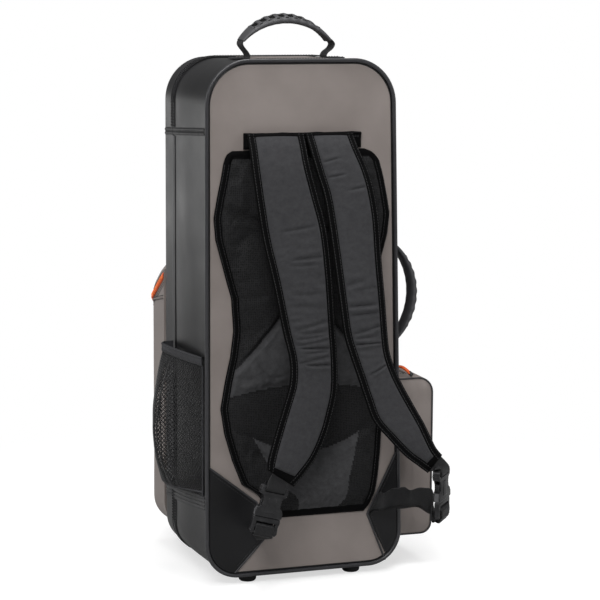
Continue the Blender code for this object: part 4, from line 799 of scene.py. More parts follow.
# Rows of shares: left edge (case width, case height), right edge (width, height), bow out from the case
LEFT_STRAP_SHARES = (
    (-0.3, 0.862, 0.001, 0.862, 0.0), (-0.302, 0.832, 0.001, 0.832, 0.15),
    (-0.298, 0.791, 0.009, 0.798, 0.26), (-0.28, 0.728, 0.041, 0.745, 0.335),
    (-0.255, 0.662, 0.082, 0.68, 0.394), (-0.211, 0.585, 0.102, 0.598, 0.465),
    (-0.162, 0.492, 0.117, 0.498, 0.513), (-0.129, 0.437, 0.127, 0.43, 0.549),
    (-0.129, 0.392, 0.126, 0.372, 0.561), (-0.162, 0.349, 0.101, 0.328, 0.572),
    (-0.194, 0.312, 0.066, 0.285, 0.578), (-0.228, 0.27, 0.015, 0.245, 0.584),
    (-0.246, 0.244, -0.049, 0.214, 0.59), (-0.249, 0.226, -0.109, 0.19, 0.596),
)
RIGHT_STRAP_SHARES = (
    (0.009, 0.862, 0.265, 0.862, 0.0), (0.017, 0.832, 0.279, 0.832, 0.15),
    (0.041, 0.788, 0.312, 0.797, 0.27), (0.07, 0.745, 0.339, 0.757, 0.355),
    (0.09, 0.69, 0.3594, 0.7, 0.43), (0.111, 0.615, 0.3654, 0.623, 0.525),
    (0.131, 0.538, 0.3764, 0.542, 0.62), (0.151, 0.48, 0.3844, 0.485, 0.668),
    (0.184, 0.435, 0.3915, 0.446, 0.721), (0.216, 0.397, 0.417, 0.412, 0.769),
    (0.249, 0.357, 0.459, 0.377, 0.816), (0.289, 0.315, 0.514, 0.338, 0.87),
    (0.363, 0.281, 0.561, 0.305, 0.929), (0.448, 0.246, 0.599, 0.274, 0.971),
    (0.521, 0.224, 0.623, 0.256, 0.989), (0.576, 0.208, 0.655, 0.2415, 1.001),
)
# Creases pressed across the straps: along and across shares of both ends, and depth in metres
LEFT_CREASES = (
    (0.295, 0.25, 0.295, 0.85, 0.0006), (0.352, 0.35, 0.355, 0.95, 0.0012), (0.362, 0.30, 0.366, 0.8, 0.0008),
    (0.408, 0.20, 0.412, 0.85, 0.0006), (0.424, 0.20, 0.430, 0.8, 0.0006), (0.462, 0.20, 0.453, 0.95, 0.0012),
    (0.472, 0.30, 0.471, 0.9, 0.0008), (0.484, 0.15, 0.479, 0.9, 0.0007), (0.499, 0.10, 0.488, 0.95, 0.0010),
    (0.507, 0.20, 0.508, 1.0, 0.0016), (0.520, 0.25, 0.517, 0.9, 0.0007), (0.549, 0.05, 0.528, 0.9, 0.0011),
    (0.553, 0.25, 0.549, 1.0, 0.0014),
)
RIGHT_CREASES = (
    (0.108, 0.08, 0.100, 0.45, 0.0009), (0.152, 0.10, 0.149, 0.45, 0.0009), (0.196, 0.55, 0.193, 0.95, 0.0007),
    (0.368, 0.08, 0.364, 0.55, 0.0010), (0.378, 0.2, 0.377, 0.9, 0.0005), (0.405, 0.05, 0.405, 0.9, 0.0012),
    (0.422, 0.15, 0.422, 0.9, 0.0012), (0.466, 0.10, 0.453, 0.95, 0.0010), (0.480, 0.10, 0.478, 0.8, 0.0006),
    (0.495, 0.05, 0.500, 0.95, 0.0013), (0.597, 0.25, 0.580, 0.95, 0.0011),
)


def table_row(table, share):
    """Row of a table read along its whole length, eased by its neighbours."""
    place = share * (len(table) - 1)
    i = min(int(place), len(table) - 2)
    f = place - i
    p = [np.array(table[min(max(i + k, 0), len(table) - 1)], float) for k in (-1, 0, 1, 2)]
    curve = 2 * p[0] - 5 * p[1] + 4 * p[2] - p[3] + f * (3 * (p[1] - p[2]) + p[3] - p[0])
    return p[1] + 0.5 * f * (p[2] - p[0] + f * curve)


def strap_edges(table, along, root=STRAP_ROOT):
    """Left and right edge points of a strap or web at a share of its length."""
    left, left_up, right, right_up, bow = table_row(table, along)
    y = root - STRAP_BOW * bow
    return (np.array((CASE_WIDTH * left, y, CASE_HEIGHT * left_up)),
            np.array((CASE_WIDTH * right, y, CASE_HEIGHT * right_up)))


STRAP_ROWS = 500
# Across a strap: shares of the binding, and of the face between both bindings
BINDING_SHARES = (0.0, 0.06, 0.2, 0.4, 0.6, 0.78, 0.9, 1.0)
FACE_SHARES = (0.0, 0.02, 0.05, 0.09, 0.15, 0.23, 0.32, 0.41, 0.5, 0.59, 0.68, 0.77, 0.85, 0.91, 0.95, 0.98, 1.0)


def build_strap_pad(side, table, creases):
    """Shoulder strap: crowned woven face pressed into creases, bound edges, spacer mesh behind."""
    shares = np.linspace(0, 1, STRAP_ROWS)
    sheet, across, edge_run, run = [], [], [], [0.0]
    for v in shares:
        left, right = strap_edges(table, v)
        width = np.linalg.norm(right - left)
        b = STRAP_BINDING / width
        u = np.concatenate([
            b * np.array(BINDING_SHARES[:-1]), b + (1 - 2 * b) * np.array(FACE_SHARES),
            1 - b * np.array(BINDING_SHARES[-2::-1]),
        ])
        sheet.append(left + (right - left) * u[:, None])
        across.append((u - b) / (1 - 2 * b))
        edge_run.append(np.minimum(u, 1 - u) * width)
        if len(sheet) > 1:
            run.append(run[-1] + np.linalg.norm(sheet[-1].mean(0) - sheet[-2].mean(0)))
    sheet, across, to_side, run = np.array(sheet), np.array(across), np.array(edge_run), np.array(run)
    to_end = np.minimum(run, run[-1] - run)[:, None] * np.ones_like(to_side)
    to_edge = np.minimum(to_side, np.where(shares[:, None] > 0.5, to_end, to_side))
    on_binding = to_edge / STRAP_BINDING
    binding = 0.0008 + 0.0022 * np.sin(np.clip(on_binding, 0, 1) * math.pi * 0.62) ** 0.7
    inwards = np.maximum(to_edge - STRAP_BINDING, 0)
    crown = 0.0029 + 0.0012 * smooth_step(0, 0.0016, inwards) + 0.0024 * (1 - np.exp(-inwards / 0.010))
    front = np.where(on_binding < 1, binding, crown)
    front -= 0.0009 * np.exp(-((to_edge - STRAP_BINDING + 0.0006) / 0.0007) ** 2)
    window = smooth_step(-0.02, 0.06, across) * smooth_step(-0.02, 0.06, 1 - across)
    length = run[-1]
    for start, low, end, high, depth in creases:
        line = start + (end - start) * (across - low) / (high - low)
        off = (shares[:, None] - line) * length
        part = smooth_step(low - 0.12, low + 0.1, across) * smooth_step(-high - 0.12, -high + 0.1, -across)
        front -= window * part * depth * 1.9 * np.exp(-(off / 0.0012) ** 2)
        for k in (-1, 1):
            front += window * part * depth * 0.6 * np.exp(-((off - k * 0.0040) / 0.0024) ** 2)
    for r in range(STRAP_ROWS):
        for c in range(front.shape[1]):
            if 0 < across[r, c] < 1:
                p = sheet[r, c]
                bunch = math.exp(-((shares[r] - 0.47) / 0.10) ** 2)
                fine = rumple((p[0] * 0.35, p[1], p[2] * 1.6), 0.009, 4.0)
                front[r, c] += window[r, c] * (0.0006 * rumple(p, 0.03, 3.0) + 0.0013 * bunch * fine)
    fold = run[:, None] * np.ones_like(to_side)
    front += 0.0016 * np.exp(-((fold - 0.0030) / 0.0014) ** 2)
    back = 0.0008 + 0.0036 * (1 - np.exp(-to_edge / 0.006))
    taper = 0.5 + 0.5 * smooth_step(0, 0.02, np.broadcast_to(run[:, None], to_side.shape))
    front, back = front * taper, back * taper
    faces_from = len(BINDING_SHARES) - 1
    columns = front.shape[1]

    def look(r, c):
        if run[r] < 0.0048:
            return 1
        if to_edge[r, c] < STRAP_BINDING - 0.0002 and to_edge[r, c + 1] < STRAP_BINDING + 0.0002:
            return 1
        return 0 if faces_from <= c < columns - 1 - faces_from else 1

    shapes = [slab(sheet, front, back, (0, -1, 0), look, 2, 1)]
    surface_points = shapes[0][0][:front.size].reshape(*front.shape, 3)
    for c in (2, 5, columns - 3, columns - 6):
        line = surface_points[3:-3, c]
        shapes += stitches(line, (0, -1, 0), look=3)
    made = piece("strap_" + side + "_padded", shapes, [STRAP_FACE, BINDING, SPACER, THREAD], sharp=75)
    settle(made, "strap_" + side, "strap_fabric", "strap_pad_" + side)


def build_yoke():
    """Folded black cloth that both straps are sewn under, with a bar of stitches along its top."""
    left, right = -0.0757, 0.0800
    low, high = 0.5410, 0.5610
    rows, columns = 14, 80

    def at(v, u):
        ripple = 0.0003 * math.sin(u * 23) + 0.0002 * math.sin(u * 41 + 1)
        round_off = min(1, min(u, 1 - u) * 30, v * 6) ** 0.5
        roll = 0.0022 * math.exp(-((v - 0.93) / 0.06) ** 2)
        height = 0.0012 + 0.0044 * round_off + roll - 0.0014 * (v > 0.985)
        return (between(left, right, u), PANEL_FACE, between(low, high + ripple, v)), height

    sheet, front = cloth_grid(rows, columns, at)
    shapes = [slab(sheet, front, 0, (0, -1, 0))]
    top = shapes[0][0][:rows * columns].reshape(rows, columns, 3)
    for r in (9, 10):
        shapes += stitches(top[r, 2:-2] + np.array((0, -0.0001, 0)), (0, -1, 0), look=1)
    settle(piece("yoke_cloth", shapes, [BINDING, THREAD], sharp=60), "case", "polyester_webbing", "strap_yoke")


WEB_WIDTH = 0.025
WEB_THICKNESS = 0.0016
BUCKLE_THICKNESS = 0.0095
SOCKET_LENGTH = 0.040
PLUG_BASE = 0.022
BAR_WALL = 0.0035
BAR_SLOT = 0.0042


def buckle_place(shares, tilt, turn):
    across, up, bow = shares
    top = (CASE_WIDTH * across, STRAP_ROOT - STRAP_BOW * bow, CASE_HEIGHT * up)
    turned = Matrix.Rotation(math.radians(turn), 4, "Z") @ Matrix.Rotation(math.radians(tilt), 4, "Y")
    return Matrix.Translation(top) @ turned


LEFT_BUCKLE = buckle_place((-0.2106, 0.1946, 0.6257), 16, 0)
RIGHT_BUCKLE = buckle_place((0.6500, 0.2150, 1.0054), -6, 44)
LEFT_WEB_SHARES = (
    (-0.287, 0.085, -0.202, 0.085, 0.499), (-0.277, 0.09, -0.177, 0.09, 0.262),
    (-0.273, 0.092, -0.171, 0.092, 0.0),
)
RIGHT_WEB_SHARES = (
    (0.623, 0.164, 0.617, 0.126, 0.904), (0.581, 0.1685, 0.581, 0.134, 0.678),
    (0.529, 0.163, 0.523, 0.128, 0.499), (0.483, 0.159, 0.478, 0.124, 0.333),
    (0.447, 0.15, 0.413, 0.116, 0.131), (0.437, 0.143, 0.389, 0.107, 0.0),
)


def ribbon(rows, facing, thickness=WEB_THICKNESS, look=0):
    """Webbing through rows of (left, right) edge points, its two edges thinner than its middle."""
    rows = np.asarray(rows, float)
    u = np.array((0.0, 0.03, 0.09, 0.3, 0.5, 0.7, 0.91, 0.97, 1.0))
    sheet = rows[:, :1] + (rows[:, 1:2] - rows[:, :1]) * u[None, :, None]
    half = thickness / 2 * np.array((0.35, 0.8, 1.0, 0.97, 0.95, 0.97, 1.0, 0.8, 0.35))
    heights = np.broadcast_to(half, (len(rows), len(u)))
    return slab(sheet, heights, heights, facing, lambda r, c: look, look, look)


def smooth_rows(rows, count):
    """Rows of edge points read at even steps with their corners eased."""
    flat = [np.concatenate(row) for row in rows]
    read = [table_row(flat, k / (count - 1)) for k in range(count)]
    return [(row[:3], row[3:]) for row in read]


def cut_plate(loops, low, high, bevel, at, look=0):
    """Moulded plate of an outline with holes, its edges rounded, as a shape in the case's frame.

    Loops are in the plate's own x and y, and it is as thick as low to high.
    """
    curve = bpy.data.curves.new("cut", "CURVE")
    curve.dimensions = "2D"
    curve.fill_mode = "BOTH"
    curve.bevel_depth = bevel
    curve.bevel_resolution = 2
    curve.extrude = (high - low) / 2 - bevel
    curve.offset = -bevel
    for loop in loops:
        spline = curve.splines.new("POLY")
        spline.points.add(len(loop) - 1)
        for point, (u, v) in zip(spline.points, loop):
            point.co = (u, v, 0, 1)
        spline.use_cyclic_u = True
    holder = placed("cut", curve)
    bpy.context.view_layer.update()
    mesh = bpy.data.meshes.new_from_object(holder.evaluated_get(bpy.context.evaluated_depsgraph_get()))
    bpy.data.objects.remove(holder)
    bm = bmesh.new()
    bm.from_mesh(mesh)
    bmesh.ops.remove_doubles(bm, verts=bm.verts, dist=0.000005)
    points = np.array([v.co for v in bm.verts]) + np.array((0, 0, (low + high) / 2))
    faces = [tuple(v.index for v in f.verts) for f in bm.faces]
    bm.free()
    bpy.data.meshes.remove(mesh)
    uvs = [tuple(points[i][:2]) for face in faces for i in face]
    return moved((points, faces, uvs, [look] * len(faces)), at)


def profile_loop(half, radii=0.0016):
    """Symmetric outline from (half width, height) points on its right side, listed upwards."""
    return outline([*half, *((-x, y) for x, y in half[::-1])], radii, 0.0, 0.0008)


def build_buckle(side, strap_body, plug_body, at):
    """Side-release buckle: hollow socket with scalloped sides, plug with two sprung arms and a guide."""
    face = at @ ON_BACK
    half = BUCKLE_THICKNESS / 2
    slot = outline(oblong(-0.0128, -0.0085, 0.0128, -0.0040), 0.0009, 0, 0.0008)
    shell = [
        (0.0176, -0.0400), (0.0181, -0.0330), (0.0160, -0.0285), (0.0122, -0.0255), (0.0116, -0.0190),
        (0.0132, -0.0135), (0.0172, -0.0110), (0.0181, -0.0060), (0.0168, -0.0008),
    ]
    shapes = [
        cut_plate([profile_loop(shell), slot], half - 0.0021, half, 0.0006, face),
        cut_plate([profile_loop(shell), slot], -half, -half + 0.0021, 0.0006, face),
    ]
    head = [(0.0130, -0.0135), (0.0172, -0.0112), (0.0180, -0.0060), (0.0167, -0.0009)]
    shapes.append(cut_plate([profile_loop(head), slot], -half + 0.0006, half - 0.0006, 0.0006, face))
    for sign in (-1, 1):
        cheek = [(0.0149, -0.0396), (0.0173, -0.0396), (0.0178, -0.0330), (0.0157, -0.0286), (0.0149, -0.0290)]
        cheek = [(sign * x, y) for x, y in cheek]
        shapes.append(cut_plate([cheek], -half + 0.0008, half - 0.0008, 0.0003, face))
    rib = outline([(-0.0065, -0.0345), (0.0065, -0.0345), (0.0052, -0.0150), (-0.0052, -0.0150)],
                  0.002, 0, 0.0008)
    shapes.append(cut_plate([rib], half - 0.0004, half + 0.0005, 0.0003, face))
    made = piece("buckle_" + side + "_socket", shapes, [ACETAL], sharp=35)
    settle(made, strap_body, "buckle_acetal", "buckle_socket_" + side)

    mouth = -SOCKET_LENGTH - FIT
    foot = mouth - PLUG_BASE
    holes = []
    for k in range(2):
        low = foot + BAR_WALL + k * (BAR_SLOT + BAR_WALL)
        holes.append(outline(oblong(-0.0128, low, 0.0128, low + BAR_SLOT), 0.0009, 0, 0.0008))
    base = [(0.0160, foot), (0.0181, foot + 0.0030), (0.0172, foot + 0.0110), (0.0181, foot + 0.0180),
            (0.0176, mouth)]
    shapes = [cut_plate([profile_loop(base), *holes], -0.0032, 0.0032, 0.0008, face)]
    for sign in (-1, 1):
        arm = [
            (0.0100, mouth - 0.001), (0.0142, mouth - 0.001), (0.0144, mouth + 0.0080), (0.0132, mouth + 0.0125),
            (0.0140, mouth + 0.0170), (0.0136, mouth + 0.0215), (0.0112, mouth + 0.0228),
            (0.0104, mouth + 0.0190), (0.0106, mouth + 0.0120),
        ]
        arm = outline(arm, 0.0005, 0, 0.0006) * (sign, 1)
        shapes.append(cut_plate([arm], -0.0026, 0.0026, 0.0007, face))
    guide = [(-0.0022, mouth - 0.001), (0.0022, mouth - 0.001), (0.0016, mouth + 0.021), (-0.0016, mouth + 0.021)]
    shapes.append(cut_plate([guide], -0.0022, 0.0022, 0.0004, face))
    roll = [(k, -0.0004, foot + 0.0095) for k in (-0.0122, -0.0119, -0.006, 0.0, 0.006, 0.0119, 0.0122)]
    thick = [0.0030, 0.0041, 0.0042, 0.0041, 0.0042, 0.0041, 0.0030]
    shapes.append(moved(tube(roll, thick, sides=20, look=1), at))
    behind = [[np.array((k, 0.0030, foot + up)) for k in (-0.0122, 0.0122)]
              for up in (0.0020, 0.0060, 0.0120, 0.0190)]
    shapes.append(moved(ribbon(behind, (0, -1, 0), 0.0012, look=1), at))
    made = piece("buckle_" + side + "_plug", shapes, [ACETAL, WEBBING], sharp=35)
    settle(made, plug_body, "buckle_acetal", "buckle_plug_" + side)


def build_strap_webbing(side, table, at, web_table):
    """Webbing from the strap round the socket's bar, and from the plug's bar back to the case."""
    low = strap_edges(table, 1.0)
    above = strap_edges(table, 0.965)
    end, before = (low[0] + low[1]) / 2, (above[0] + above[1]) / 2
    across = (low[1] - low[0]) / np.linalg.norm(low[1] - low[0])
    half = WEB_WIDTH / 2
    start = [before + across * k for k in (-half, half)]
    middle = [end + across * k for k in (-half, half)]
    out = BUCKLE_THICKNESS / 2 + WEB_THICKNESS / 2 + 0.0002
    over = [[at @ Vector((k, y, z)) for k in (-half, half)] for y, z in
            ((-out * 0.6, 0.0035), (-out, -0.0005), (-out, -0.0052), (-out * 0.75, -0.0068), (0, -0.0072),
             (out * 0.75, -0.0068), (out, -0.0052), (out, -0.0005), (out * 0.8, 0.0040))]
    rows = smooth_rows([start, middle] + over, 44)
    shapes = [ribbon(rows, (0, -1, 0))]
    settle(piece("web_" + side + "_upper", shapes, [WEBBING], sharp=60), "strap_" + side, "polyester_webbing",
           "strap_web_" + side)

    foot = -SOCKET_LENGTH - FIT - PLUG_BASE
    reach = 0.0032 + WEB_THICKNESS / 2 + 0.0002
    turn = [(-0.0009, foot + 0.0125), (-reach, foot + 0.0095), (-reach, foot + 0.0040), (-reach, foot - 0.0002),
            (-reach * 0.6, foot - 0.0018), (0.0004, foot - 0.0024), (reach * 0.8, foot - 0.0012),
            (0.0085, foot + 0.0004)]
    rows = [[at @ Vector((k, y, z)) for k in (-half, half)] for y, z in turn]
    patch = PANEL_FACE - PATCH - WEB_SEAM
    last = len(web_table) - 1
    for k in range(last + 1):
        rows.append([Vector(p) for p in strap_edges(web_table, k / last, patch)])
    eased = smooth_rows([[np.array(p) for p in row] for row in rows], 90)
    ruck = 1.7 if side == "right" else 0.3
    under = []
    for k, (high_edge, low_edge) in enumerate(eased):
        loose = ruck * smooth_step(18, 34, k) * (1 - smooth_step(78, 89, k))
        wave = math.sin(k * 0.37) + 0.5 * math.sin(k * 0.83 + 1)
        under.append((high_edge + np.array((0.001, 0.0030 * loose, -0.0050)),
                      low_edge + np.array((0.001, 0.0030 * loose, -0.0048))))
        high_edge += np.array((0, -0.0016, 0.0017)) * loose * wave
        low_edge += np.array((0, 0.0012 * math.sin(k * 0.37 + 0.9), 0.0008 * wave)) * loose
    shapes = [ribbon(eased, (0, -1, 0))]
    if side == "right":
        shapes.append(ribbon(under[30:], (0, -1, 0)))
    made = piece("web_" + side + "_lower", shapes, [WEBBING], sharp=60)
    settle(made, "case", "polyester_webbing", "lower_web_" + side)


def build_straps():
    build_yoke()
    build_strap_pad("left", LEFT_STRAP_SHARES, LEFT_CREASES)
    build_strap_pad("right", RIGHT_STRAP_SHARES, RIGHT_CREASES)
    build_buckle("left", "strap_left", "plug_left", LEFT_BUCKLE)
    build_buckle("right", "strap_right", "plug_right", RIGHT_BUCKLE)
    build_strap_webbing("left", LEFT_STRAP_SHARES, LEFT_BUCKLE, LEFT_WEB_SHARES)
    build_strap_webbing("right", RIGHT_STRAP_SHARES, RIGHT_BUCKLE, RIGHT_WEB_SHARES)


# Zipper and hinge side
ZIP_LOW, ZIP_HIGH = 0.083, 0.561


def zip_path(offset):
    """Outline points from the low band round the foot, the bell side and the top to the high band."""
    side = LEFT_WALL - offset
    run = [(side, between(ZIP_LOW, FOOT_RADIUS, k / 6)) for k in range(6)]
    run += [tuple(p) for p in case_outline(-offset, closing=False)]
    return np.array(run + [(side, between(CASE_HEIGHT - TOP_RADIUS, ZIP_HIGH, k / 5)) for k in range(1, 6)])


def coil(path, outs, across, pitch, reach, wire, look=0):
    """Nylon coil of a zipper: turns wound round a line, reach wide and half as high."""
    steps = 5
    outs, across = (np.broadcast_to(way, path.shape) for way in (outs, across))
    line = resampled(np.hstack([path, outs, across]), pitch / steps)
    angles = np.arange(len(line)) / steps * 2 * math.pi
    centre, out, side = line[:, :3], line[:, 3:6], line[:, 6:]
    turns = centre + out * (np.sin(angles) * reach * 0.5)[:, None] + side * (np.cos(angles) * reach)[:, None]
    return tube(turns, wire, sides=4, look=look)


def build_main_zipper():
    """A tape on each half with a folded leathercloth strip over it, and the coil's half of each."""
    away = zip_path(FIT + 0.001) - zip_path(FIT)
    away /= np.linalg.norm(away, axis=1, keepdims=True)
    outs = ring_at(away, 0.0)
    for sign, name, body in ((-1, "shell", "case"), (1, "lid", "lid")):
        # Distance from the split, and how far out, round the strip's section
        section = ((0.0003, 0.0003), (0.0003, 0.0009), (0.0030, 0.0009), (0.0034, 0.0015), (0.0040, 0.0019),
                   (0.0060, 0.0018), (0.0078, 0.0017), (0.0088, 0.0013), (0.0090, 0.0003))
        grid = np.stack([ring_at(zip_path(out), SPLIT + sign * off) for off, out in section], axis=1)
        shapes = [skin(grid, wrap=True, ends=True, looks=lambda r, c: 0 if c < 2 else 1)]
        for off, out in ((0.0050, 0.00185), (0.0072, 0.00172)):
            shapes += stitches(ring_at(zip_path(out), SPLIT + sign * off), outs, look=2, sides=4)
        middle = ring_at(zip_path(0.0013), SPLIT + sign * 0.0017)
        shapes.append(coil(middle, outs, (0.0, 1.0, 0.0), 0.0019, 0.0012, 0.00036, look=3))
        made = piece("zipper_" + name + "_half", shapes, [TAPE, BLACK_LEATHER, THREAD, COIL], sharp=50)
        settle(made, body, "zipper_tape", "zipper_tape_" + name)


def slant(y, at_back, at_split):
    """Height on the hinge side of something that runs down towards the lid."""
    return between(at_back, at_split, (y - 0.0065) / 0.1275)


def band(middle, height, back, front, ridges, seed):
    """Folded band across the hinge side, between two depths, with sewn ridges along it."""
    rows = 6 * ridges + 5

    def at(v, u):
        y = between(back, front, u)
        z = middle(y) + (v - 0.5) * height
        ridge = 0.5 + 0.5 * math.cos(2 * math.pi * (v * ridges - 0.5))
        round_off = min(1, min(v, 1 - v) * 9) ** 0.5
        out = 0.0006 + 0.0009 * ridge * round_off + 0.0002 * rumple((0, y, z), 0.008, seed)
        return (LEFT_WALL - FIT - crown(y), y, z), out

    sheet, out = cloth_grid(rows, 50, at)
    shapes = [slab(sheet, out, 0, (-1, 0, 0))]
    for k in range(1, ridges):
        r = round((rows - 1) * k / ridges)
        line = sheet[r] - np.array((1, 0, 0)) * out[r][:, None]
        shapes += stitches(line[1:-1], (-1, 0, 0), look=1)
    return shapes


def low_middle(y):
    return slant(y, 0.0950, 0.0815)


def high_middle(y):
    return slant(y, 0.5630, 0.5560)


def build_bands():
    """The two sewn bands that end the zipper, each in two pieces that part at the split."""
    for node, name, middle, height, ridges in (
        ("upper_band", "high", high_middle, 0.010, 2), ("mesh_band", "low", low_middle, 0.019, 4),
    ):
        look = [BAND_CLOTH, THREAD] if name == "low" else [BLACK_LEATHER, THREAD]
        made = piece(name + "_band_case", band(middle, height, 0.0035, SPLIT - 0.0004, ridges, 3.0), look, sharp=60)
        settle(made, "case", "black_leathercloth", node)
        made = piece(name + "_band_lid", band(middle, height, SPLIT + 0.0004, 0.1750, ridges, 3.0), look, sharp=60)
        settle(made, "lid", "black_leathercloth")


def build_hinge_fold():
    """Fold of leathercloth that the lid turns on, between the two bands."""
    def at(v, u):
        y, z = between(0.1290, 0.1475, u), between(0.1060, 0.5500, v)
        fold = math.exp(-((y - SPLIT) / 0.0022) ** 2)
        height = 0.0007 + 0.0006 * fold + 0.0002 * rumple((0, y, z), 0.02, 5.0)
        return (LEFT_WALL - FIT - crown(y), y, z), height

    grid, out = cloth_grid(60, 15, at)
    out[:, 0] = out[:, -1] = 0.0002
    made = piece("hinge_fold", [slab(grid, out, 0, (-1, 0, 0))], [BLACK_LEATHER], sharp=60)
    settle(made, None, "black_leathercloth", "hinge_strip")
    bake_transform(made)


# Net pocket
NET_BACK, NET_FRONT = 0.0100, 0.1340
NET_TURN = 0.86
NET_FACE = LEFT_WALL - FIT - 0.0012


def net_foot(y):
    return low_middle(y) + 0.0085


def net_head(y):
    return 0.2659 + slant(y, 0.0041, 0.0056)


def net_section(u, v):
    """How far out and how deep the net is: over its swell to its front corner, then back in to the wall."""
    belly = math.sin(math.pi * min(1.0, v) ** 0.9) ** 0.8 if 0 < v < 1 else 0.0
    opened = min(1.0, max(v, 0.0) / 0.05) ** 0.5
    share = min(u / NET_TURN, 1.0)
    corner = 0.0150 + 0.003 * v + 0.011 * belly
    out = corner * share ** 0.8 + 0.0160 * belly * math.sin(math.pi * share ** 1.3)
    back = max(u - NET_TURN, 0.0) / (1 - NET_TURN)
    pleats = 0.0030 * math.exp(-((share - 0.55 - 0.05 * v) / 0.035) ** 2)
    pleats -= 0.0035 * math.exp(-((share - 0.47 - 0.05 * v) / 0.03) ** 2)
    pleats -= 0.0025 * math.exp(-((share - 0.66) / 0.03) ** 2)
    swing = 0.0010 * rumple((0, u * 0.1, v * 0.12), 0.02, 6.0)
    out += (pleats + swing) * belly
    round_off = 1 - 0.25 * math.exp(-((u - NET_TURN) / 0.035) ** 2)
    return max(out * opened * (1 - back) * round_off, 0.0), between(NET_BACK, NET_FRONT, share) + 0.002 * back


def net_point(u, v):
    """Point of the net at a share round its section and of its height."""
    out, y = net_section(u, v)
    return NET_FACE - crown(y) - out, y, between(net_foot(y), net_head(y), v)


def build_net_pocket():
    """Diamond-knit net of a bottle pocket, sewn at its foot and sides, with a folded elastic hem."""
    columns, rows = 64, 62
    bm = bmesh.new()
    knots = {}
    for j in range(rows + 1):
        for i in range(columns + 1):
            if (i + j) % 2 == 0:
                knots[i, j] = bm.verts.new(net_point(i / columns, j / rows))
    for j in range(rows + 1):
        for i in range(columns + 1):
            if (i + j) % 2:
                ring = [knots[k] for k in ((i - 1, j), (i, j - 1), (i + 1, j), (i, j + 1)) if k in knots]
                if len(ring) > 2:
                    bm.faces.new(ring)
    mesh = bpy.data.meshes.new("net")
    bm.to_mesh(mesh)
    bm.free()
    net = placed("bottle_net", mesh)
    wires = net.modifiers.new("yarn", "WIREFRAME")
    wires.thickness = 0.0014
    wires.use_even_offset = False
    wires.use_boundary = True
    wires.offset = 0
    apply_modifiers(net)
    net.data.materials.append(NET_YARN)
    net.data.shade_smooth()
    settle(net, "case", "elastic_mesh", "mesh_pocket")

    def at(v, u):
        x, y, z = net_point(u, 1.0)
        ripple = 0.0006 * math.sin(u * 55) * v * (1 - v)
        lip = 0.0009 * math.exp(-((v - 0.9) / 0.1) ** 2) * (1 + smooth_step(0.8, 1.0, u))
        height = (0.0006 + lip) * (0.5 if v in (0, 1) else 1)
        return (x - 0.0011 - ripple, y, z + between(0.0002, 0.0115, v)), height

    sheet, out = cloth_grid(9, 49, at)
    shapes = [slab(sheet, out, 0.0009, (-1, 0, 0))]
    top = shapes[0][0][:9 * 49].reshape(9, 49, 3)
    for r in (1, 2):
        shapes += stitches(top[r, 1:-1], (-1, 0, 0), look=1)
    for c in (0, 48):
        seam = resampled([net_point(c / 48, k / 20) for k in range(21)], 0.006)
        shapes.append(tube(seam, 0.0012, sides=6))
    foot = [net_point(k / 40, 0.035) for k in range(41)]
    shapes.append(tube([(x - 0.0004, y, z) for x, y, z in foot], 0.0013, sides=6))
    hem = piece("net_hem", shapes, [HEM_ELASTIC, THREAD], sharp=60)
    settle(hem, "case", "polyester_webbing", "mesh_hem")
    for soft in (net, hem):
        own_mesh(soft)


# Feet, handles and trims
def lathe(profile, at, sides=36, look=0):
    """Turned part: (radius, height) points round the local z axis."""
    angles = np.arange(sides) / sides * 2 * math.pi
    grid = [[(r * math.cos(a), r * math.sin(a), z) for a in angles] for r, z in profile]
    return moved(skin(grid, wrap=True, ends=True, looks=lambda r, c: look), at)


def build_feet():
    """Moulded rubber feet: a flange under the case, a waist and a rounded tread."""
    profile = ((0.0128, -0.0003), (0.0130, -0.0012), (0.0126, -0.0022), (0.0119, -0.0030), (0.0116, -0.0060),
               (0.0113, -0.0088), (0.0106, -0.0105), (0.0094, -0.0116), (0.0080, -0.0120), (0.0050, -0.0120),
               (0.0046, -0.0112), (0.0010, -0.0112))
    for row, y, body in (("back", 0.0145, "case"), ("front", 0.173, "lid")):
        for side, x in (("left", -0.0637), ("right", 0.078)):
            made = piece("foot_" + row + "_" + side + "_tread", [lathe(profile, Matrix.Translation((x, y, 0)))],
                         [FOOT_RUBBER], sharp=50)
            settle(made, body, "foot_rubber", "foot_" + row + "_" + side)


TOP_ARCH = (0.0600, 0.0320, 0.0565)
SIDE_ARCH = (0.064, 0.0305, 0.0461)
GRIP_HALF = 0.013


def arch_circle(half_span, rise):
    radius = (half_span ** 2 + rise ** 2) / (2 * rise)
    return radius, math.asin(half_span / radius)


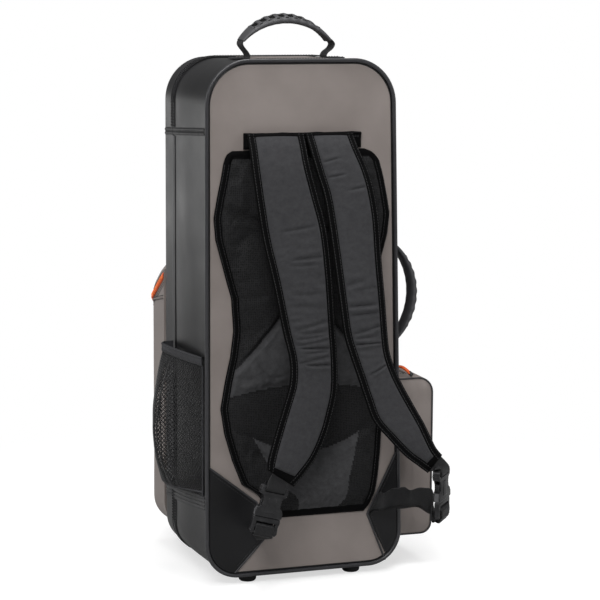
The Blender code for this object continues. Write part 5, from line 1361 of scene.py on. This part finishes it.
def build_grip(name, at, arch, slot_pitch, body, twist):
    """Moulded grip: an arched bar with a ladder of deep slots, ribs between them, and small oval dents, the slots and
    dents painted darker as shade.
    """
    half_span, rise, apex = arch
    radius, half_angle = arch_circle(half_span, rise)
    length = 2 * radius * half_angle
    half = (0.985, 0.94, 0.86, 0.80, 0.74, 0.68, 0.60, 0.50, 0.44, 0.39, 0.34, 0.18)
    over = (*(-k for k in half), 0.0, *half[::-1])
    under = (0.985, 0.93, 0.8, 0.5, 0.0, -0.5, -0.8, -0.93, -0.985)
    grid, dents = [], []
    rows = 260
    for r in range(rows):
        share = r / (rows - 1)
        angle = between(-half_angle, half_angle, share)
        thick = between(0.009, 0.005, abs(2 * share - 1) ** 2)
        out = np.array((math.sin(angle), 0, math.cos(angle)))
        lean = twist * math.sin(math.pi * share)
        side = np.array((0, 1, 0))
        centre = np.array((0, 0, apex - radius)) + out * (radius - thick / 2 - 0.0048 * math.sin(lean))
        out, side = out * math.cos(lean) - side * math.sin(lean), side * math.cos(lean) + out * math.sin(lean)
        along = (share - 0.5) * length
        cell = (along / slot_pitch) % 1 - 0.5
        offset = (along / slot_pitch + 0.5) % 1 - 0.5
        inside = abs(along) < slot_pitch * 4
        rib = 0.5 - 0.5 * math.cos(2 * math.pi * cell) if inside else 0.5
        half_wide = GRIP_HALF * (0.95 + 0.05 * rib)
        line, in_shade = [], []
        for y in over:
            swell = (1 - abs(y) ** 3.2) ** 0.5
            slot = (1 - smooth_step(0.24, 0.31, abs(cell))) * (1 - smooth_step(0.36, 0.46, abs(y))) * inside
            oval = (abs(offset) / 0.20) ** 2 + ((abs(y) - 0.70) / 0.085) ** 2
            dent = (1 - smooth_step(0.7, 1.3, oval)) * (abs(along) < slot_pitch * 4)
            lift = (thick / 2 + 0.0010 * rib) * swell - 0.0034 * slot - 0.0012 * dent
            line.append(centre + out * lift + side * y * half_wide)
            # Slots and dents take the near-black look: painted shade.
            in_shade.append(max(slot, dent) > 0.5)
        for y in under:
            swell = (1 - abs(y) ** 3.2) ** 0.5
            line.append(centre - out * thick / 2 * swell + side * y * half_wide)
            in_shade.append(False)
        grid.append(line)
        dents.append(in_shade)
    shape = skin(grid, wrap=True, ends=True, looks=lambda r, c: int(dents[min(r, rows - 1)][c]))
    made = piece(name + "_grip_moulding", [moved(shape, at)], [GRIP_RUBBER, GRIP_SHADE], sharp=50)
    settle(made, body, "grip_rubber", name + "_grip")


def leg_rows(path, half, at):
    """Webbing rows along a handle leg's side view, square across it."""
    fine = resampled([(x, 0, z) for x, z in path], 0.0008)
    eased = fine.copy()
    for _ in range(14):
        eased[1:-1] = (eased[:-2] + 2 * eased[1:-1] + eased[2:]) / 4
    return [[at @ Vector((x, -half, z)), at @ Vector((x, half, z))] for x, _, z in eased]


def build_handle(name, at, arch, ends, steps, twist=0.0):
    """Webbing legs of a handle: sewn flat on the case, then up into the grip's ends.

    Steps are each leg's points: how far beyond the grip's end, and how high over the case.
    """
    half_span, rise, apex = arch
    end_z = apex - rise
    build_grip(name, at, arch, 0.0125, name, twist)
    knee = half_span - 0.012
    for end, sign, beyond in zip(ends, (-1, 1), steps):
        path = [(half_span - 0.010, end_z + 0.0055), *((half_span + more, z) for more, z in beyond)]
        rows = leg_rows([(sign * x, z) for x, z in path], GRIP_HALF - 0.0013, at)
        facing = at.to_3x3() @ Vector((sign, 0, 0.4))
        shapes = [ribbon(rows, tuple(facing), 0.0019)]
        flat = [row for row in rows if (at.inverted() @ row[0]).z < 0.0016]
        for share in (0.12, 0.88):
            line = [np.array(row[0].lerp(row[1], share)) for row in flat[6:]]
            out = np.array(at.to_3x3() @ Vector((0, 0, 1)))
            shapes += stitches(np.array(line) + out * 0.00095, out, look=1)
        made = piece(name + "_webbing_" + end, shapes, [LEG_WEBBING, THREAD], sharp=60)
        settle(made, None, "polyester_webbing", name + "_leg_" + end)
        low, high = (at @ Vector((sign * knee, 0, z)) + HOME for z in (0.0035, end_z - 0.001))
        tuple(low)
        tuple(high)
        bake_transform(made)


def build_handles():
    top = Matrix.Translation((0, 0.060, CASE_HEIGHT))
    steps = (((-0.0010, 0.0235), (0.0003, 0.0185), (-0.0040, 0.0130), (-0.0085, 0.0080), (-0.0105, 0.0030),
              (-0.0090, 0.0013), (0.0120, 0.0013)),
             ((-0.0005, 0.0240), (0.0042, 0.0190), (0.0010, 0.0130), (-0.0060, 0.0085), (-0.0090, 0.0030),
              (-0.0075, 0.0013), (0.0170, 0.0013)))
    build_handle("top_handle", top, TOP_ARCH, ("left", "right"), steps, math.radians(17))
    lean = Matrix.Rotation(-math.atan2(CASE_FLARE, CASE_HEIGHT), 4, "Y")
    out = Matrix(((0, 0, 1), (0, 1, 0), (-1, 0, 0))).to_4x4()
    height = CASE_HEIGHT * 0.5354
    side = Matrix.Translation((bell_wall(height), 0.046, height)) @ lean @ out
    leg = ((0.0010, 0.0125), (0.0010, 0.0085), (-0.0060, 0.0060), (-0.0125, 0.0035), (-0.0150, 0.0018),
           (-0.0110, 0.0013), (0.0100, 0.0013))
    build_handle("side_handle", side, SIDE_ARCH, ("upper", "lower"), (leg, leg))
    corners = oblong(-0.0492, 0.026, 0.0492, 0.112)
    at = Matrix.Translation((0, 0, CASE_HEIGHT + FIT))
    shapes = [plate(lambda inset: outline(corners, 0.004, inset, 0.003), 0.0012, 0.0006, at)]
    row = level_at(outline(corners, 0.004, 0.003, 0.003), CASE_HEIGHT + FIT + 0.0012)
    shapes += stitches(np.vstack([row, row[:1]]), (0, 0, 1), look=1)
    settle(piece("top_patch_cloth", shapes, [TAUPE, THREAD]), "case", "taupe_leathercloth", "top_patch")


def apply_modifiers(made):
    """Turns a piece's modifiers into its mesh."""
    bpy.context.view_layer.update()
    mesh = bpy.data.meshes.new_from_object(made.evaluated_get(bpy.context.evaluated_depsgraph_get()))
    old = made.data
    made.modifiers.clear()
    made.data = mesh
    bpy.data.meshes.remove(old)


def carved(made, *cutters):
    """Cuts closed shapes out of a piece."""
    helpers = []
    for k, shape in enumerate(cutters):
        helper = piece("cutter_%d" % k, [shape], [])
        helpers.append(helper)
        cut = made.modifiers.new("cut_%d" % k, "BOOLEAN")
        cut.operation, cut.object, cut.solver = "DIFFERENCE", helper, "EXACT"
    apply_modifiers(made)
    for helper in helpers:
        bpy.data.objects.remove(helper)
    return made


def prism(loop, low, high, at):
    """Closed prism of an outline between two heights."""
    return moved(skin([level_at(loop, z) for z in (low, high)], wrap=True, ends=True), at)


# Side pocket
SIDE_FOOT, SIDE_HEAD = 0.028, 0.2379
SIDE_OUT = bell_wall(SIDE_FOOT) + 0.055
SIDE_BACK, SIDE_FRONT = 0.020, 0.118
SIDE_WALL = bell_wall(SIDE_HEAD)
ZIP_END = SIDE_WALL + 0.0105
FLAP_END = ZIP_END + 0.024


def side_profile(inset=0.0, gap=FIT, foot=SIDE_FOOT, head=SIDE_HEAD, out=SIDE_OUT):
    corners = [(bell_wall(SIDE_FOOT) + gap, foot), (out, foot), (out, head), (bell_wall(SIDE_HEAD) + gap, head)]
    return outline(corners, (0, 0.015, 0.021, 0), inset, 0.004)


def build_side_pocket():
    """Accessory pocket on the bell side: slack padded cloth on a foam board, piped round both faces."""
    rings = []
    insets = (0.030, 0.022, 0.015, 0.010, 0.006, 0.003, 0.0012, 0.0)
    for inset in insets:
        puff = 0.0055 * (1 - math.exp(-inset / 0.010))
        rings.append((inset, SIDE_BACK + 0.0002 - puff))
    rings += [(-0.0006 * math.sin(math.pi * k / 12), between(SIDE_BACK + 0.001, SIDE_FRONT - 0.001, k / 12))
              for k in range(13)]
    rings += [(inset, SIDE_FRONT - 0.0002 + 0.0030 * (1 - math.exp(-inset / 0.008))) for inset in insets[::-1]]
    grid = []
    for inset, y in rings:
        ring = ring_at(side_profile(max(inset, -0.0006)), y)
        for p in ring:
            fold = rumple((p[0] / 1.0, p[1] * 0.2, p[2] / 4.0), 0.014, 8.0) + 0.6 * rumple(p, 0.03, 9.0)
            amount = 0.0019 * fold * smooth_step(0.0005, 0.008, inset if inset > 0 else 0.004)
            p[1] += amount * math.copysign(1, y - 0.069) * (0 if 0.03 < y < 0.108 else 1)
        grid.append(ring)
    body = piece("side_pocket_cloth", [skin(grid, wrap=True, ends=True)], [TAUPE], sharp=50)
    hollow = outline(oblong(0.0, SIDE_FOOT + 0.003, SIDE_OUT - 0.003, SIDE_HEAD - 0.003),
                     (0, 0.007, 0.017, 0), 0, 0.004)
    flap_back = SIDE_BACK + 0.025
    mouth = np.array([(0.0, 0.025), (ZIP_END, 0.025), (ZIP_END, flap_back), (FLAP_END, flap_back),
                      (FLAP_END, SIDE_FRONT - 0.005), (0.0, SIDE_FRONT - 0.005)])
    carved(body, prism(hollow, 0.023, 0.115, ON_FRONT), prism(mouth, 0.2300, 0.260, Matrix.Identity(4)))
    body.data.shade_smooth()
    body.data.set_sharp_from_angle(angle=math.radians(45))
    settle(body, "case", "taupe_leathercloth", "side_pocket")

    trim = side_profile(0.0011)[1:-1]
    trim = trim[:np.argmin(np.abs(trim[:, 0] - SIDE_WALL - 0.002) + np.abs(trim[:, 1] - SIDE_HEAD)) + 1]
    for name, y in (("back", SIDE_BACK - 0.0012), ("front", SIDE_FRONT + 0.0012)):
        bead = ring_at(trim, y)
        made = piece("side_welt_" + name, [tube(bead, 0.0011, sides=12, start=(0, 1, 0))], [VINYL])
        settle(made, "case", "black_piping", "side_piping_" + name)

    corners = oblong(SIDE_WALL + 0.0006, 0.0253, ZIP_END - FIT, 0.1127)
    at = Matrix.Translation((0, 0, SIDE_HEAD - 0.003))
    shapes = [plate(lambda inset: outline(corners, 0.0006, inset, 0.004), 0.0024, 0.0004, at)]
    line = np.array([(SIDE_WALL + 0.00525, y, SIDE_HEAD - 0.0003) for y in np.linspace(0.027, 0.111, 30)])
    for k in (-1, 1):
        beside = line + np.array((k * 0.0013, 0, 0))
        shapes.append(coil(beside, (0, 0, 1), (1, 0, 0), 0.0019, 0.0012, 0.00036, look=1))
    settle(piece("side_zipper_tape", shapes, [TAPE, COIL]), "case", "zipper_tape", "side_zipper")

    corners = oblong(ZIP_END + FIT, 0.0453, FLAP_END - 0.0006, 0.1127)
    shapes = [plate(lambda inset: outline(corners, 0.002, inset, 0.003), 0.003, 0.0010, at)]
    row = level_at(outline(corners, 0.002, 0.0028, 0.003), SIDE_HEAD)
    shapes += stitches(np.vstack([row, row[:1]]), (0, 0, 1), look=1)
    settle(piece("side_flap_cloth", shapes, [TAUPE, THREAD]), "side_flap", "taupe_leathercloth", "side_flap")


# Sliders and pulls
TURN_X = 0.0053


def build_slider(name, at, cord_pull=False, crosswise=False):
    """Die-cast zipper slider with two cheeks and a pin, and the pull that hangs on it."""
    wide, tall = (0.007, 0.0045) if crosswise else (0.0045, 0.007)
    face = at @ Matrix(((0, 0, 1), (1, 0, 0), (0, 1, 0))).to_4x4()
    cheek = at @ Matrix(((0, 1, 0), (0, 0, 1), (1, 0, 0))).to_4x4()
    corners = oblong(-wide, -tall, wide, tall)
    shapes = [plate(lambda inset: outline(corners, 0.0030, inset, 0.0008), 0.0012, 0.0004, face)]
    shapes.append(plate(lambda inset: outline(corners, 0.0030, inset + 0.0008, 0.0008), 0.0035, 0.0009, face))
    ear = [(-0.0024, 0.0030), (0.0024, 0.0030), (0.0018, 0.0070), (-0.0018, 0.0070)]
    loop = outline(ear, [0.0004, 0.0004, 0.0014, 0.0014], 0, 0.0006)
    for low in (-0.0042, 0.0024):
        shapes.append(cut_plate([loop], low, low + 0.0018, 0.0003, cheek))
    pin = [at @ Vector((TURN_X, y, 0)) for y in (-0.0043, -0.002, 0.002, 0.0043)]
    shapes.append(tube(pin, 0.0007, sides=10))
    settle(piece(name + "_slider_casting", shapes, [ZINC], sharp=35), name + "_slider", "blackened_zinc",
           name + "_slider")

    end = -0.0110 if cord_pull else -0.030
    tab = [(-0.0019, 0.0012), (-0.0019, -0.0034), (-0.0036, -0.0062), (-0.0040, end + 0.002), (-0.0030, end),
           (0.0030, end), (0.0040, end + 0.002), (0.0036, -0.0062), (0.0019, -0.0034), (0.0019, 0.0012)]
    tab = outline(tab, [0.0006, 0.001, 0.001, 0.001, 0.001, 0.001, 0.001, 0.001, 0.001, 0.0006], 0, 0.0008)
    hole = outline(oblong(-0.0022, end + 0.0016, 0.0022, end + 0.0052), 0.0011, 0, 0.0006)
    raised = [(-0.0022, end + 0.0095), (0.0022, end + 0.0095), (0.0019, -0.0090), (-0.0019, -0.0090)]
    shapes = [cut_plate([tab, hole], TURN_X - 0.0008, TURN_X + 0.0008, 0.0004, face)]
    if not cord_pull:
        rib = outline(raised, 0.001, 0, 0.0008)
        shapes.append(cut_plate([rib], TURN_X - 0.0011, TURN_X + 0.0011, 0.0003, face))
    settle(piece(name + "_pull_tab", shapes, [ZINC], sharp=35), name + "_pull", "blackened_zinc", name + "_pull")


SIDE_TURN = Matrix(((0, 0, -1), (0, 1, 0), (1, 0, 0))).to_4x4()
SIDE_SPOT = Matrix.Translation((SIDE_WALL + 0.00525, 0.034, SIDE_HEAD + FIT)) @ SIDE_TURN
CORD_RADIUS = 0.0015


def build_cord_pull():
    """Short orange cord through the side pull's hole, its two ends crimped in a black sleeve."""
    # One strand from the tab's hole, in the slider's own frame: up, across the zipper, towards the strap side
    strand = resampled([(TURN_X, 0.0, -0.0085), (0.0100, -0.0004, -0.0082), (0.0132, -0.0022, -0.0112),
                        (0.0120, -0.0062, -0.0158), (0.0084, -0.0098, -0.0198), (0.0046, -0.0128, -0.0232)], 0.0008)
    for _ in range(6):
        strand[1:-1] = (strand[:-2] + 2 * strand[1:-1] + strand[2:]) / 4
    beside = np.array((0.0, 0.0011, -0.0011))
    points = [*(strand[::-1] - beside), *(strand + beside)]
    path = [SIDE_SPOT @ Vector(p) + HOME for p in points]
    length = sum((b - a).length for a, b in zip(path, path[1:]))
    shape = tube([tuple(p) for p in path], CORD_RADIUS, sides=12)
    made = piece("side_pull_cord", [shape], [ORANGE_YARN])
    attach(made, "side_pull")
    on = strand[-1] - strand[-4]
    on /= np.linalg.norm(on)
    ends = [strand[-1] + on * off for off in (-0.0030, -0.0026, 0.0, 0.0036, 0.0040)]
    sleeve = moved(tube(ends, [0.0020, 0.0026, 0.0028, 0.0026, 0.0019], sides=16), SIDE_SPOT)
    sleeve = piece("side_pull_sleeve", [sleeve], [ACETAL])
    settle(sleeve, "side_pull", "buckle_acetal")
    tuple(path[0])
    [tuple(p) for p in path]


# Lid front and its pocket
POCKET_FOOT, POCKET_HEAD = 0.014, 0.3851
POCKET_STANDOUT, POCKET_EDGE = 0.0605, 0.012
ZIP_SLOPE = math.radians(-33)
ZIP_SPOT = np.array((0, CASE_DEPTH, 0.3661))
ZIP_OUT = np.array((0, -math.sin(ZIP_SLOPE), math.cos(ZIP_SLOPE)))


def pocket_rings(grow=0.0):
    """Rings of the front pocket from the lid outwards, and in over its front face."""
    left = LEFT_WALL + 0.0005
    corners = [(left, POCKET_FOOT), (bell_wall(POCKET_FOOT) - 0.0005, POCKET_FOOT),
               (bell_wall(POCKET_HEAD) - 0.0005, POCKET_HEAD), (left, POCKET_HEAD)]
    base = CASE_DEPTH + FIT
    straight = POCKET_STANDOUT - POCKET_EDGE
    steps = [(base + straight * k / 14, 0.0) for k in range(15)]
    for k in range(1, 9):
        angle = k / 8 * math.pi / 2
        edge = POCKET_EDGE + grow
        steps.append((base + straight + edge * math.sin(angle), edge * (1 - math.cos(angle))))
    steps += [(base + POCKET_STANDOUT + grow + 0.0022 * (1 - math.exp(-k / 0.02)), POCKET_EDGE + grow + k)
              for k in (0.004, 0.009, 0.015, 0.022, 0.030, 0.039, 0.049, 0.060, 0.072, 0.085, 0.098)]
    grid = []
    for y, inset in steps:
        share = min(1.0, (y - base) / POCKET_STANDOUT)
        flat = outline(corners, (FOOT_RADIUS, FOOT_RADIUS, 0.026, 0.026), inset - grow, 0.005)
        drop = 0.037 * share ** 1.6 / (POCKET_HEAD - POCKET_FOOT)
        flat[:, 1] = POCKET_FOOT + (flat[:, 1] - POCKET_FOOT) * (1 - drop)
        ring = ring_at(flat, y)
        for p in ring:
            slack = 0.0008 * rumple(p, 0.045, 10.0) * smooth_step(0.0, 0.3, share)
            p[1] += slack
            p[0] -= slack * math.copysign(1, p[0]) * (inset < 0.01) * 0.8
        grid.append(ring)
    return np.array(grid)


def pocket_seam(rings, off):
    """Line where a plane beside the zipper's cuts the pocket, from left to right, and the way out along it."""
    points, faces, _, _ = skin(rings, wrap=True)
    bm = bmesh.new()
    verts = [bm.verts.new(p) for p in points]
    for face in faces:
        bm.faces.new([verts[i] for i in face])
    bm.normal_update()
    spot = Vector(ZIP_SPOT + ZIP_OUT * off)
    geometry = bm.verts[:] + bm.edges[:] + bm.faces[:]
    cut = bmesh.ops.bisect_plane(bm, geom=geometry, plane_co=spot, plane_no=Vector(ZIP_OUT))
    bm.normal_update()
    links = {}
    for edge in cut["geom_cut"]:
        if isinstance(edge, bmesh.types.BMEdge):
            for vert in edge.verts:
                links.setdefault(vert, []).append(edge.other_vert(vert))
    here, last = min((v for v in links if len(links[v]) == 1), key=lambda v: v.co.x), None
    line, outs = [], []
    while here:
        away = here.co - Vector((0, CASE_DEPTH + 0.03, 0.2))
        line.append(here.co[:])
        outs.append((here.normal if here.normal @ away > 0 else -here.normal)[:])
        here, last = next((v for v in links[here] if v != last), None), here
    bm.free()
    return np.array(line), np.array(outs)


def pocket_cloth(name, grow, thickness, look, keeps):
    """Part of the front pocket's skin on the wanted sides of slanting planes, given its thickness inwards."""
    rings = pocket_rings(grow)
    made = piece(name, [skin(rings, wrap=True)], [look])
    bm = bmesh.new()
    bm.from_mesh(made.data)
    cap = [v for v in bm.verts if v.is_boundary and v.co.y > CASE_DEPTH + 0.03]
    edges = list({e for v in cap for e in v.link_edges if e.is_boundary})
    bmesh.ops.contextual_create(bm, geom=edges)
    for off, sign in keeps:
        spot = Vector(ZIP_SPOT + ZIP_OUT * off)
        geometry = bm.verts[:] + bm.edges[:] + bm.faces[:]
        bmesh.ops.bisect_plane(bm, geom=geometry, plane_co=spot, plane_no=Vector(ZIP_OUT),
                               clear_outer=sign < 0, clear_inner=sign > 0)
    bmesh.ops.recalc_face_normals(bm, faces=bm.faces)
    if sum((f.normal.y * f.calc_area() for f in bm.faces)) < 0:
        bmesh.ops.reverse_faces(bm, faces=bm.faces)
    bm.to_mesh(made.data)
    bm.free()
    wall = made.modifiers.new("wall", "SOLIDIFY")
    wall.thickness, wall.offset = thickness, -1
    apply_modifiers(made)
    made.data.shade_smooth()
    made.data.set_sharp_from_angle(angle=math.radians(50))
    return made


def build_front_pocket():
    """Music pocket on the lid: slack body, flap over it, and the orange zipper between."""
    body = pocket_cloth("front_pocket_body", 0, 0.003, TAUPE, [(0.0, -1)])
    settle(body, "lid", "taupe_leathercloth", "front_pocket")
    flap = pocket_cloth("front_flap_cloth", 0, 0.003, TAUPE, [(0.0006, 1)])
    settle(flap, "front_flap", "taupe_leathercloth", "front_flap")
    tape = pocket_cloth("front_zipper_tape", 0.0017, 0.0011, ORANGE_TAPE, [(-0.0078, 1), (-0.0003, -1)])
    settle(tape, "lid", "orange_zipper_tape", "front_zipper")
    rings = pocket_rings(0.0017)
    shapes = []
    for off in (-0.0052, -0.0028):
        line, outs = pocket_seam(rings, off)
        shapes.append(coil(line + outs * 0.0004, outs, ZIP_OUT, 0.0020, 0.0011, 0.0004))
    settle(piece("front_zipper_coil", shapes, [ORANGE_COIL]), "lid", "orange_zipper_tape")
    rings = pocket_rings()
    shapes = []
    for off in (-0.0112, -0.0142):
        line, outs = pocket_seam(rings, off)
        shapes += stitches(line, outs)
    for sign in (-1, 1):
        for low in (-0.0022, 0.0, 0.0022):
            path, outs = [], []
            for k in range(25):
                angle = max(0.0, (k - 14) / 10 * 1.2)
                y = CASE_DEPTH + 0.003 + 0.0455 * min(1.0, k / 14) + POCKET_EDGE * math.sin(angle)
                z = 0.3330 - (y - CASE_DEPTH) * 0.195 + low
                edge = LEFT_WALL + 0.0005 if sign < 0 else bell_wall(z) - 0.0005
                path.append((edge - sign * (POCKET_EDGE * (1 - math.cos(angle)) - 0.0005), y, z))
                outs.append((sign * math.cos(angle), math.sin(angle), 0))
            path, outs = np.array(path), np.array(outs)
            shapes += stitches(path, outs) if low else [tube(path - outs * 0.0004, 0.0010, sides=8, look=1)]
    settle(piece("front_pocket_stitching", shapes, [THREAD, TAUPE]), "lid", "taupe_leathercloth")
    line, outs = pocket_seam(rings, 0.0032)
    settle(piece("front_flap_stitching", stitches(line, outs), [THREAD]), "front_flap", "taupe_leathercloth")


def build_lid_front():
    """Taupe panel above the pocket with its welt, and the lid's quilted lining."""
    inset = LID_EDGE + 2 * TRIM_RADIUS + 2 * FIT
    low = POCKET_HEAD + 2 * SKIN - inset
    corners = [(LEFT_WALL, low), (bell_wall(low), low), *CASE_CORNERS[2:]]
    radii = (inset, inset, TOP_RADIUS, TOP_RADIUS)
    shapes = [plate(lambda more: outline(corners, radii, inset + more, PITCH), SKIN, 0.0014,
                    Matrix.Translation((0, CASE_DEPTH + FIT, 0)) @ ON_FRONT)]
    settle(piece("front_panel_cloth", shapes, [TAUPE]), "lid", "taupe_leathercloth", "front_panel")
    reach = LID_EDGE + TRIM_RADIUS
    foot = POCKET_HEAD + TRIM_RADIUS + SKIN
    arch = [p for p in case_outline(reach) if p[1] > foot]
    arch.sort(key=lambda p: math.atan2(p[1] - foot, p[0]))
    arch = np.array([(bell_wall(foot) - reach, foot), *arch, (LEFT_WALL + reach, foot)])
    bead = ring_at(arch, CASE_DEPTH + FIT + TRIM_RADIUS)
    settle(piece("front_welt", [tube(bead, TRIM_RADIUS, sides=12, start=(0, 1, 0))], [VINYL]), "lid",
           "black_piping", "front_piping")

    floor = CASE_DEPTH - WALL - FIT
    rings = []
    for inset, out in ((0.0, 0.0), (0.0, 0.006), (0.0008, 0.0078), (0.0026, 0.0092), (0.006, 0.0098),
                       (0.012, 0.0100), (0.020, 0.0086), (0.022, 0.0080), (0.024, 0.0086), (0.032, 0.0098),
                       (0.045, 0.0100), (0.060, 0.0100), (0.078, 0.0098)):
        rings.append(ring_at(case_outline(0.016 + inset), floor - out))
    made = piece("lid_lining_quilt", [skin(rings, wrap=True, ends=True)], [PLUSH], sharp=60)
    settle(made, "lid", "lining_plush", "lid_pad")


def build_inside():
    """Plush-covered foam bed in three layers with its hollows, and the accessory box's board lid."""
    left, right, rim = LEFT_WALL + WALL, bell_wall(0) - WALL, 0.024
    box_left, box_right, box_foot, box_head = 0.0123, 0.098, 0.400, 0.585
    hollow = outline(
        [(left + 0.012, rim), (right - rim, rim), (right - 0.012, 0.360), (box_left - rim, 0.360),
         (box_left - 0.036, 0.614), (LEFT_WALL + 0.038, 0.614)],
        [0.060, 0.060, 0.010, 0.010, 0.018, 0.018], 0, 0.004)
    edge = case_outline(WALL + 0.0006)
    corners = oblong(box_left, box_foot, box_right, box_head)
    step = outline(corners, (0.010, 0.003, 0.003, 0.010), 0, 0.003)
    well = outline(corners, 0.010, 0.005, 0.003)
    shapes = [
        cut_plate([edge], WALL + FIT, 0.0262, 0.0004, ON_FRONT),
        cut_plate([edge, hollow, well], 0.0260, 0.0680, 0.0004, ON_FRONT),
        cut_plate([edge, hollow, step], 0.0679, 0.1050, 0.0022, ON_FRONT),
    ]
    made = piece("foam_bed_plush", shapes, [PLUSH], sharp=50)
    settle(made, "case", "lining_plush", "sax_bed")
    shapes = [plate(lambda inset: outline(corners, (0.010, 0.003, 0.003, 0.010), 0.0021 + inset, 0.003), 0.003, 0.0010,
                    Matrix.Translation((0, 0.0683, 0)) @ ON_FRONT)]
    row = outline(corners, (0.010, 0.003, 0.003, 0.010), 0.0060, 0.003)
    shapes += stitches(ring_at(np.vstack([row, row[:1]]), 0.0713), (0, 1, 0), look=1)
    tab = [[np.array((x, y, z)) for z in (0.4875, 0.4975)] for x, y in
           ((0.0300, 0.0722), (0.0240, 0.0724), (0.0190, 0.0745), (0.0165, 0.0790), (0.0175, 0.0835),
            (0.0200, 0.0840), (0.0212, 0.0800), (0.0228, 0.0755), (0.0270, 0.0732), (0.0320, 0.0730))]
    shapes.append(ribbon(smooth_rows(tab, 40), (0, 1, 0), 0.0010, look=2))
    settle(piece("accessory_lid_board", shapes, [PLUSH, THREAD, WEBBING]), "accessory_lid", "lining_plush",
           "accessory_lid")


# Camera, light and floor
CAMERA_PLACE = (-0.9135, -2.5396, 0.7424)
CAMERA_YAW, CAMERA_PITCH, CAMERA_ROLL = (math.radians(a) for a in (19.80, 8.28, 0.30))
CAMERA_LENS = 2163.2 / 600 * 36


def build_camera():
    yaw, pitch, roll = CAMERA_YAW, CAMERA_PITCH, CAMERA_ROLL
    ahead = Vector((math.sin(yaw) * math.cos(pitch), math.cos(yaw) * math.cos(pitch), -math.sin(pitch)))
    right = Vector((math.cos(yaw), -math.sin(yaw), 0))
    up = right.cross(ahead)
    across = right * math.cos(roll) + up * math.sin(roll)
    upright = up * math.cos(roll) - right * math.sin(roll)
    lens = bpy.data.cameras.new("camera")
    lens.lens, lens.sensor_width, lens.sensor_fit = CAMERA_LENS, 36, "HORIZONTAL"
    camera = placed("camera", lens)
    turned = Matrix((across, upright, -ahead)).transposed().to_4x4()
    camera.matrix_world = Matrix.Translation(Vector(CAMERA_PLACE) + HOME) @ turned
    bpy.context.scene.camera = camera


def lamp(name, place, size, power, aim=(0, 0.08, 0.35)):
    light = bpy.data.lights.new(name, "AREA")
    light.shape, light.size, light.energy = "DISK", size, power
    obj = placed(name, light)
    obj.location = Vector(place) + HOME
    obj.rotation_euler = (Vector(aim) - Vector(place)).to_track_quat("-Z", "Y").to_euler()


def pale_floor():
    """White paper sweep: keeps the soft shadow near the case, and is plain white to the eye further off."""
    made, tree, shader, place = surface("white_paper_floor", Roughness=0.95, Specular_IOR_Level=0.1)
    shader.inputs["Base Color"].default_value = colour("B8B8B8")
    shader.inputs["Emission Color"].default_value = (1, 1, 1, 1)
    eye = add(tree, "LightPath", {}, {})["Is Camera Ray"]
    off = add(tree, "VectorMath", {"operation": "LENGTH"}, {0: place})["Value"]
    far = add(tree, "MapRange", {"interpolation_type": "SMOOTHSTEP"}, {
        "Value": off, "From Min": 0.25, "From Max": 0.9,
    })[0]
    glow = add(tree, "Math", {"operation": "MULTIPLY"}, {0: eye, 1: 0.62})[0]
    tree.links.new(glow, shader.inputs["Emission Strength"])
    white = add(tree, "Emission", {}, {"Color": (1, 1, 1, 1), "Strength": 1.0})[0]
    away = add(tree, "Math", {"operation": "MULTIPLY"}, {0: far, 1: eye})[0]
    mixed = add(tree, "MixShader", {}, {0: away, 1: shader.outputs[0], 2: white})[0]
    tree.links.new(mixed, tree.nodes["Material Output"].inputs["Surface"])
    return made


def build_studio():
    """Surround that is white to the eye and pale to the case, soft lamps, and a floor that keeps the shadow."""
    world = bpy.data.worlds.new("studio")
    bpy.context.scene.world = world
    world.use_nodes = True
    tree = world.node_tree
    tree.nodes.clear()
    path = add(tree, "LightPath", {}, {})
    seen = add(tree, "Math", {"operation": "MAXIMUM"}, {0: path["Is Camera Ray"], 1: path["Is Transmission Ray"]})
    strength = add(tree, "MapRange", {}, {"Value": seen[0], "To Min": 0.25, "To Max": 1.0})
    background = add(tree, "Background", {}, {"Color": (1, 1, 1, 1), "Strength": strength[0]})
    out = tree.nodes.new("ShaderNodeOutputWorld")
    tree.links.new(background[0], out.inputs["Surface"])
    lamp("key", (-1.2, -2.1, 2.5), 1.6, 68, (0, 0.08, 0.7))
    lamp("left", (-2.5, -0.1, 1.1), 1.3, 18)
    lamp("rim", (-1.0, 2.8, 0.3), 0.7, 3.4)
    lamp("fill", (2.2, -1.9, 1.1), 1.8, 16)
    lamp("top", (0.1, -0.1, 2.6), 1.4, 42)
    points = [(-9, -9, 0), (9, -9, 0), (9, 9, 0), (-9, 9, 0)]
    mesh = bpy.data.meshes.new("floor")
    mesh.from_pydata(points, [], [(0, 1, 2, 3)])
    mesh.materials.append(pale_floor())
    floor = placed("floor", mesh)


build_camera()
build_cord_pull()
build_studio()
build_back_half()
build_front_half()
build_corner_patches()
build_back_pad()
build_straps()
build_main_zipper()
build_bands()
build_hinge_fold()
build_net_pocket()
build_feet()
build_handles()
build_side_pocket()
for slider, share in (("upper", 0.7354), ("lower", 0.6523)):
    height = CASE_HEIGHT * share
    spot = Matrix.Translation((bell_wall(height) + 0.002, SPLIT, height))
    build_slider(slider, spot @ Matrix.Rotation(-math.atan2(CASE_FLARE, CASE_HEIGHT), 4, "Y"))
build_slider("side", SIDE_SPOT, cord_pull=True, crosswise=True)
front_out = CASE_DEPTH + FIT + POCKET_STANDOUT + 0.0017 + FIT
front_up = 0.3661 + (POCKET_STANDOUT + FIT) * math.tan(ZIP_SLOPE) - 0.0045
front_spot = Matrix.Translation((-0.070, front_out, front_up)) @ Matrix.Rotation(math.radians(90), 4, "Z")
build_slider("front", front_spot, crosswise=True)
build_front_pocket()
build_lid_front()
build_inside()

bpy.context.scene.view_settings.view_transform = "Standard"
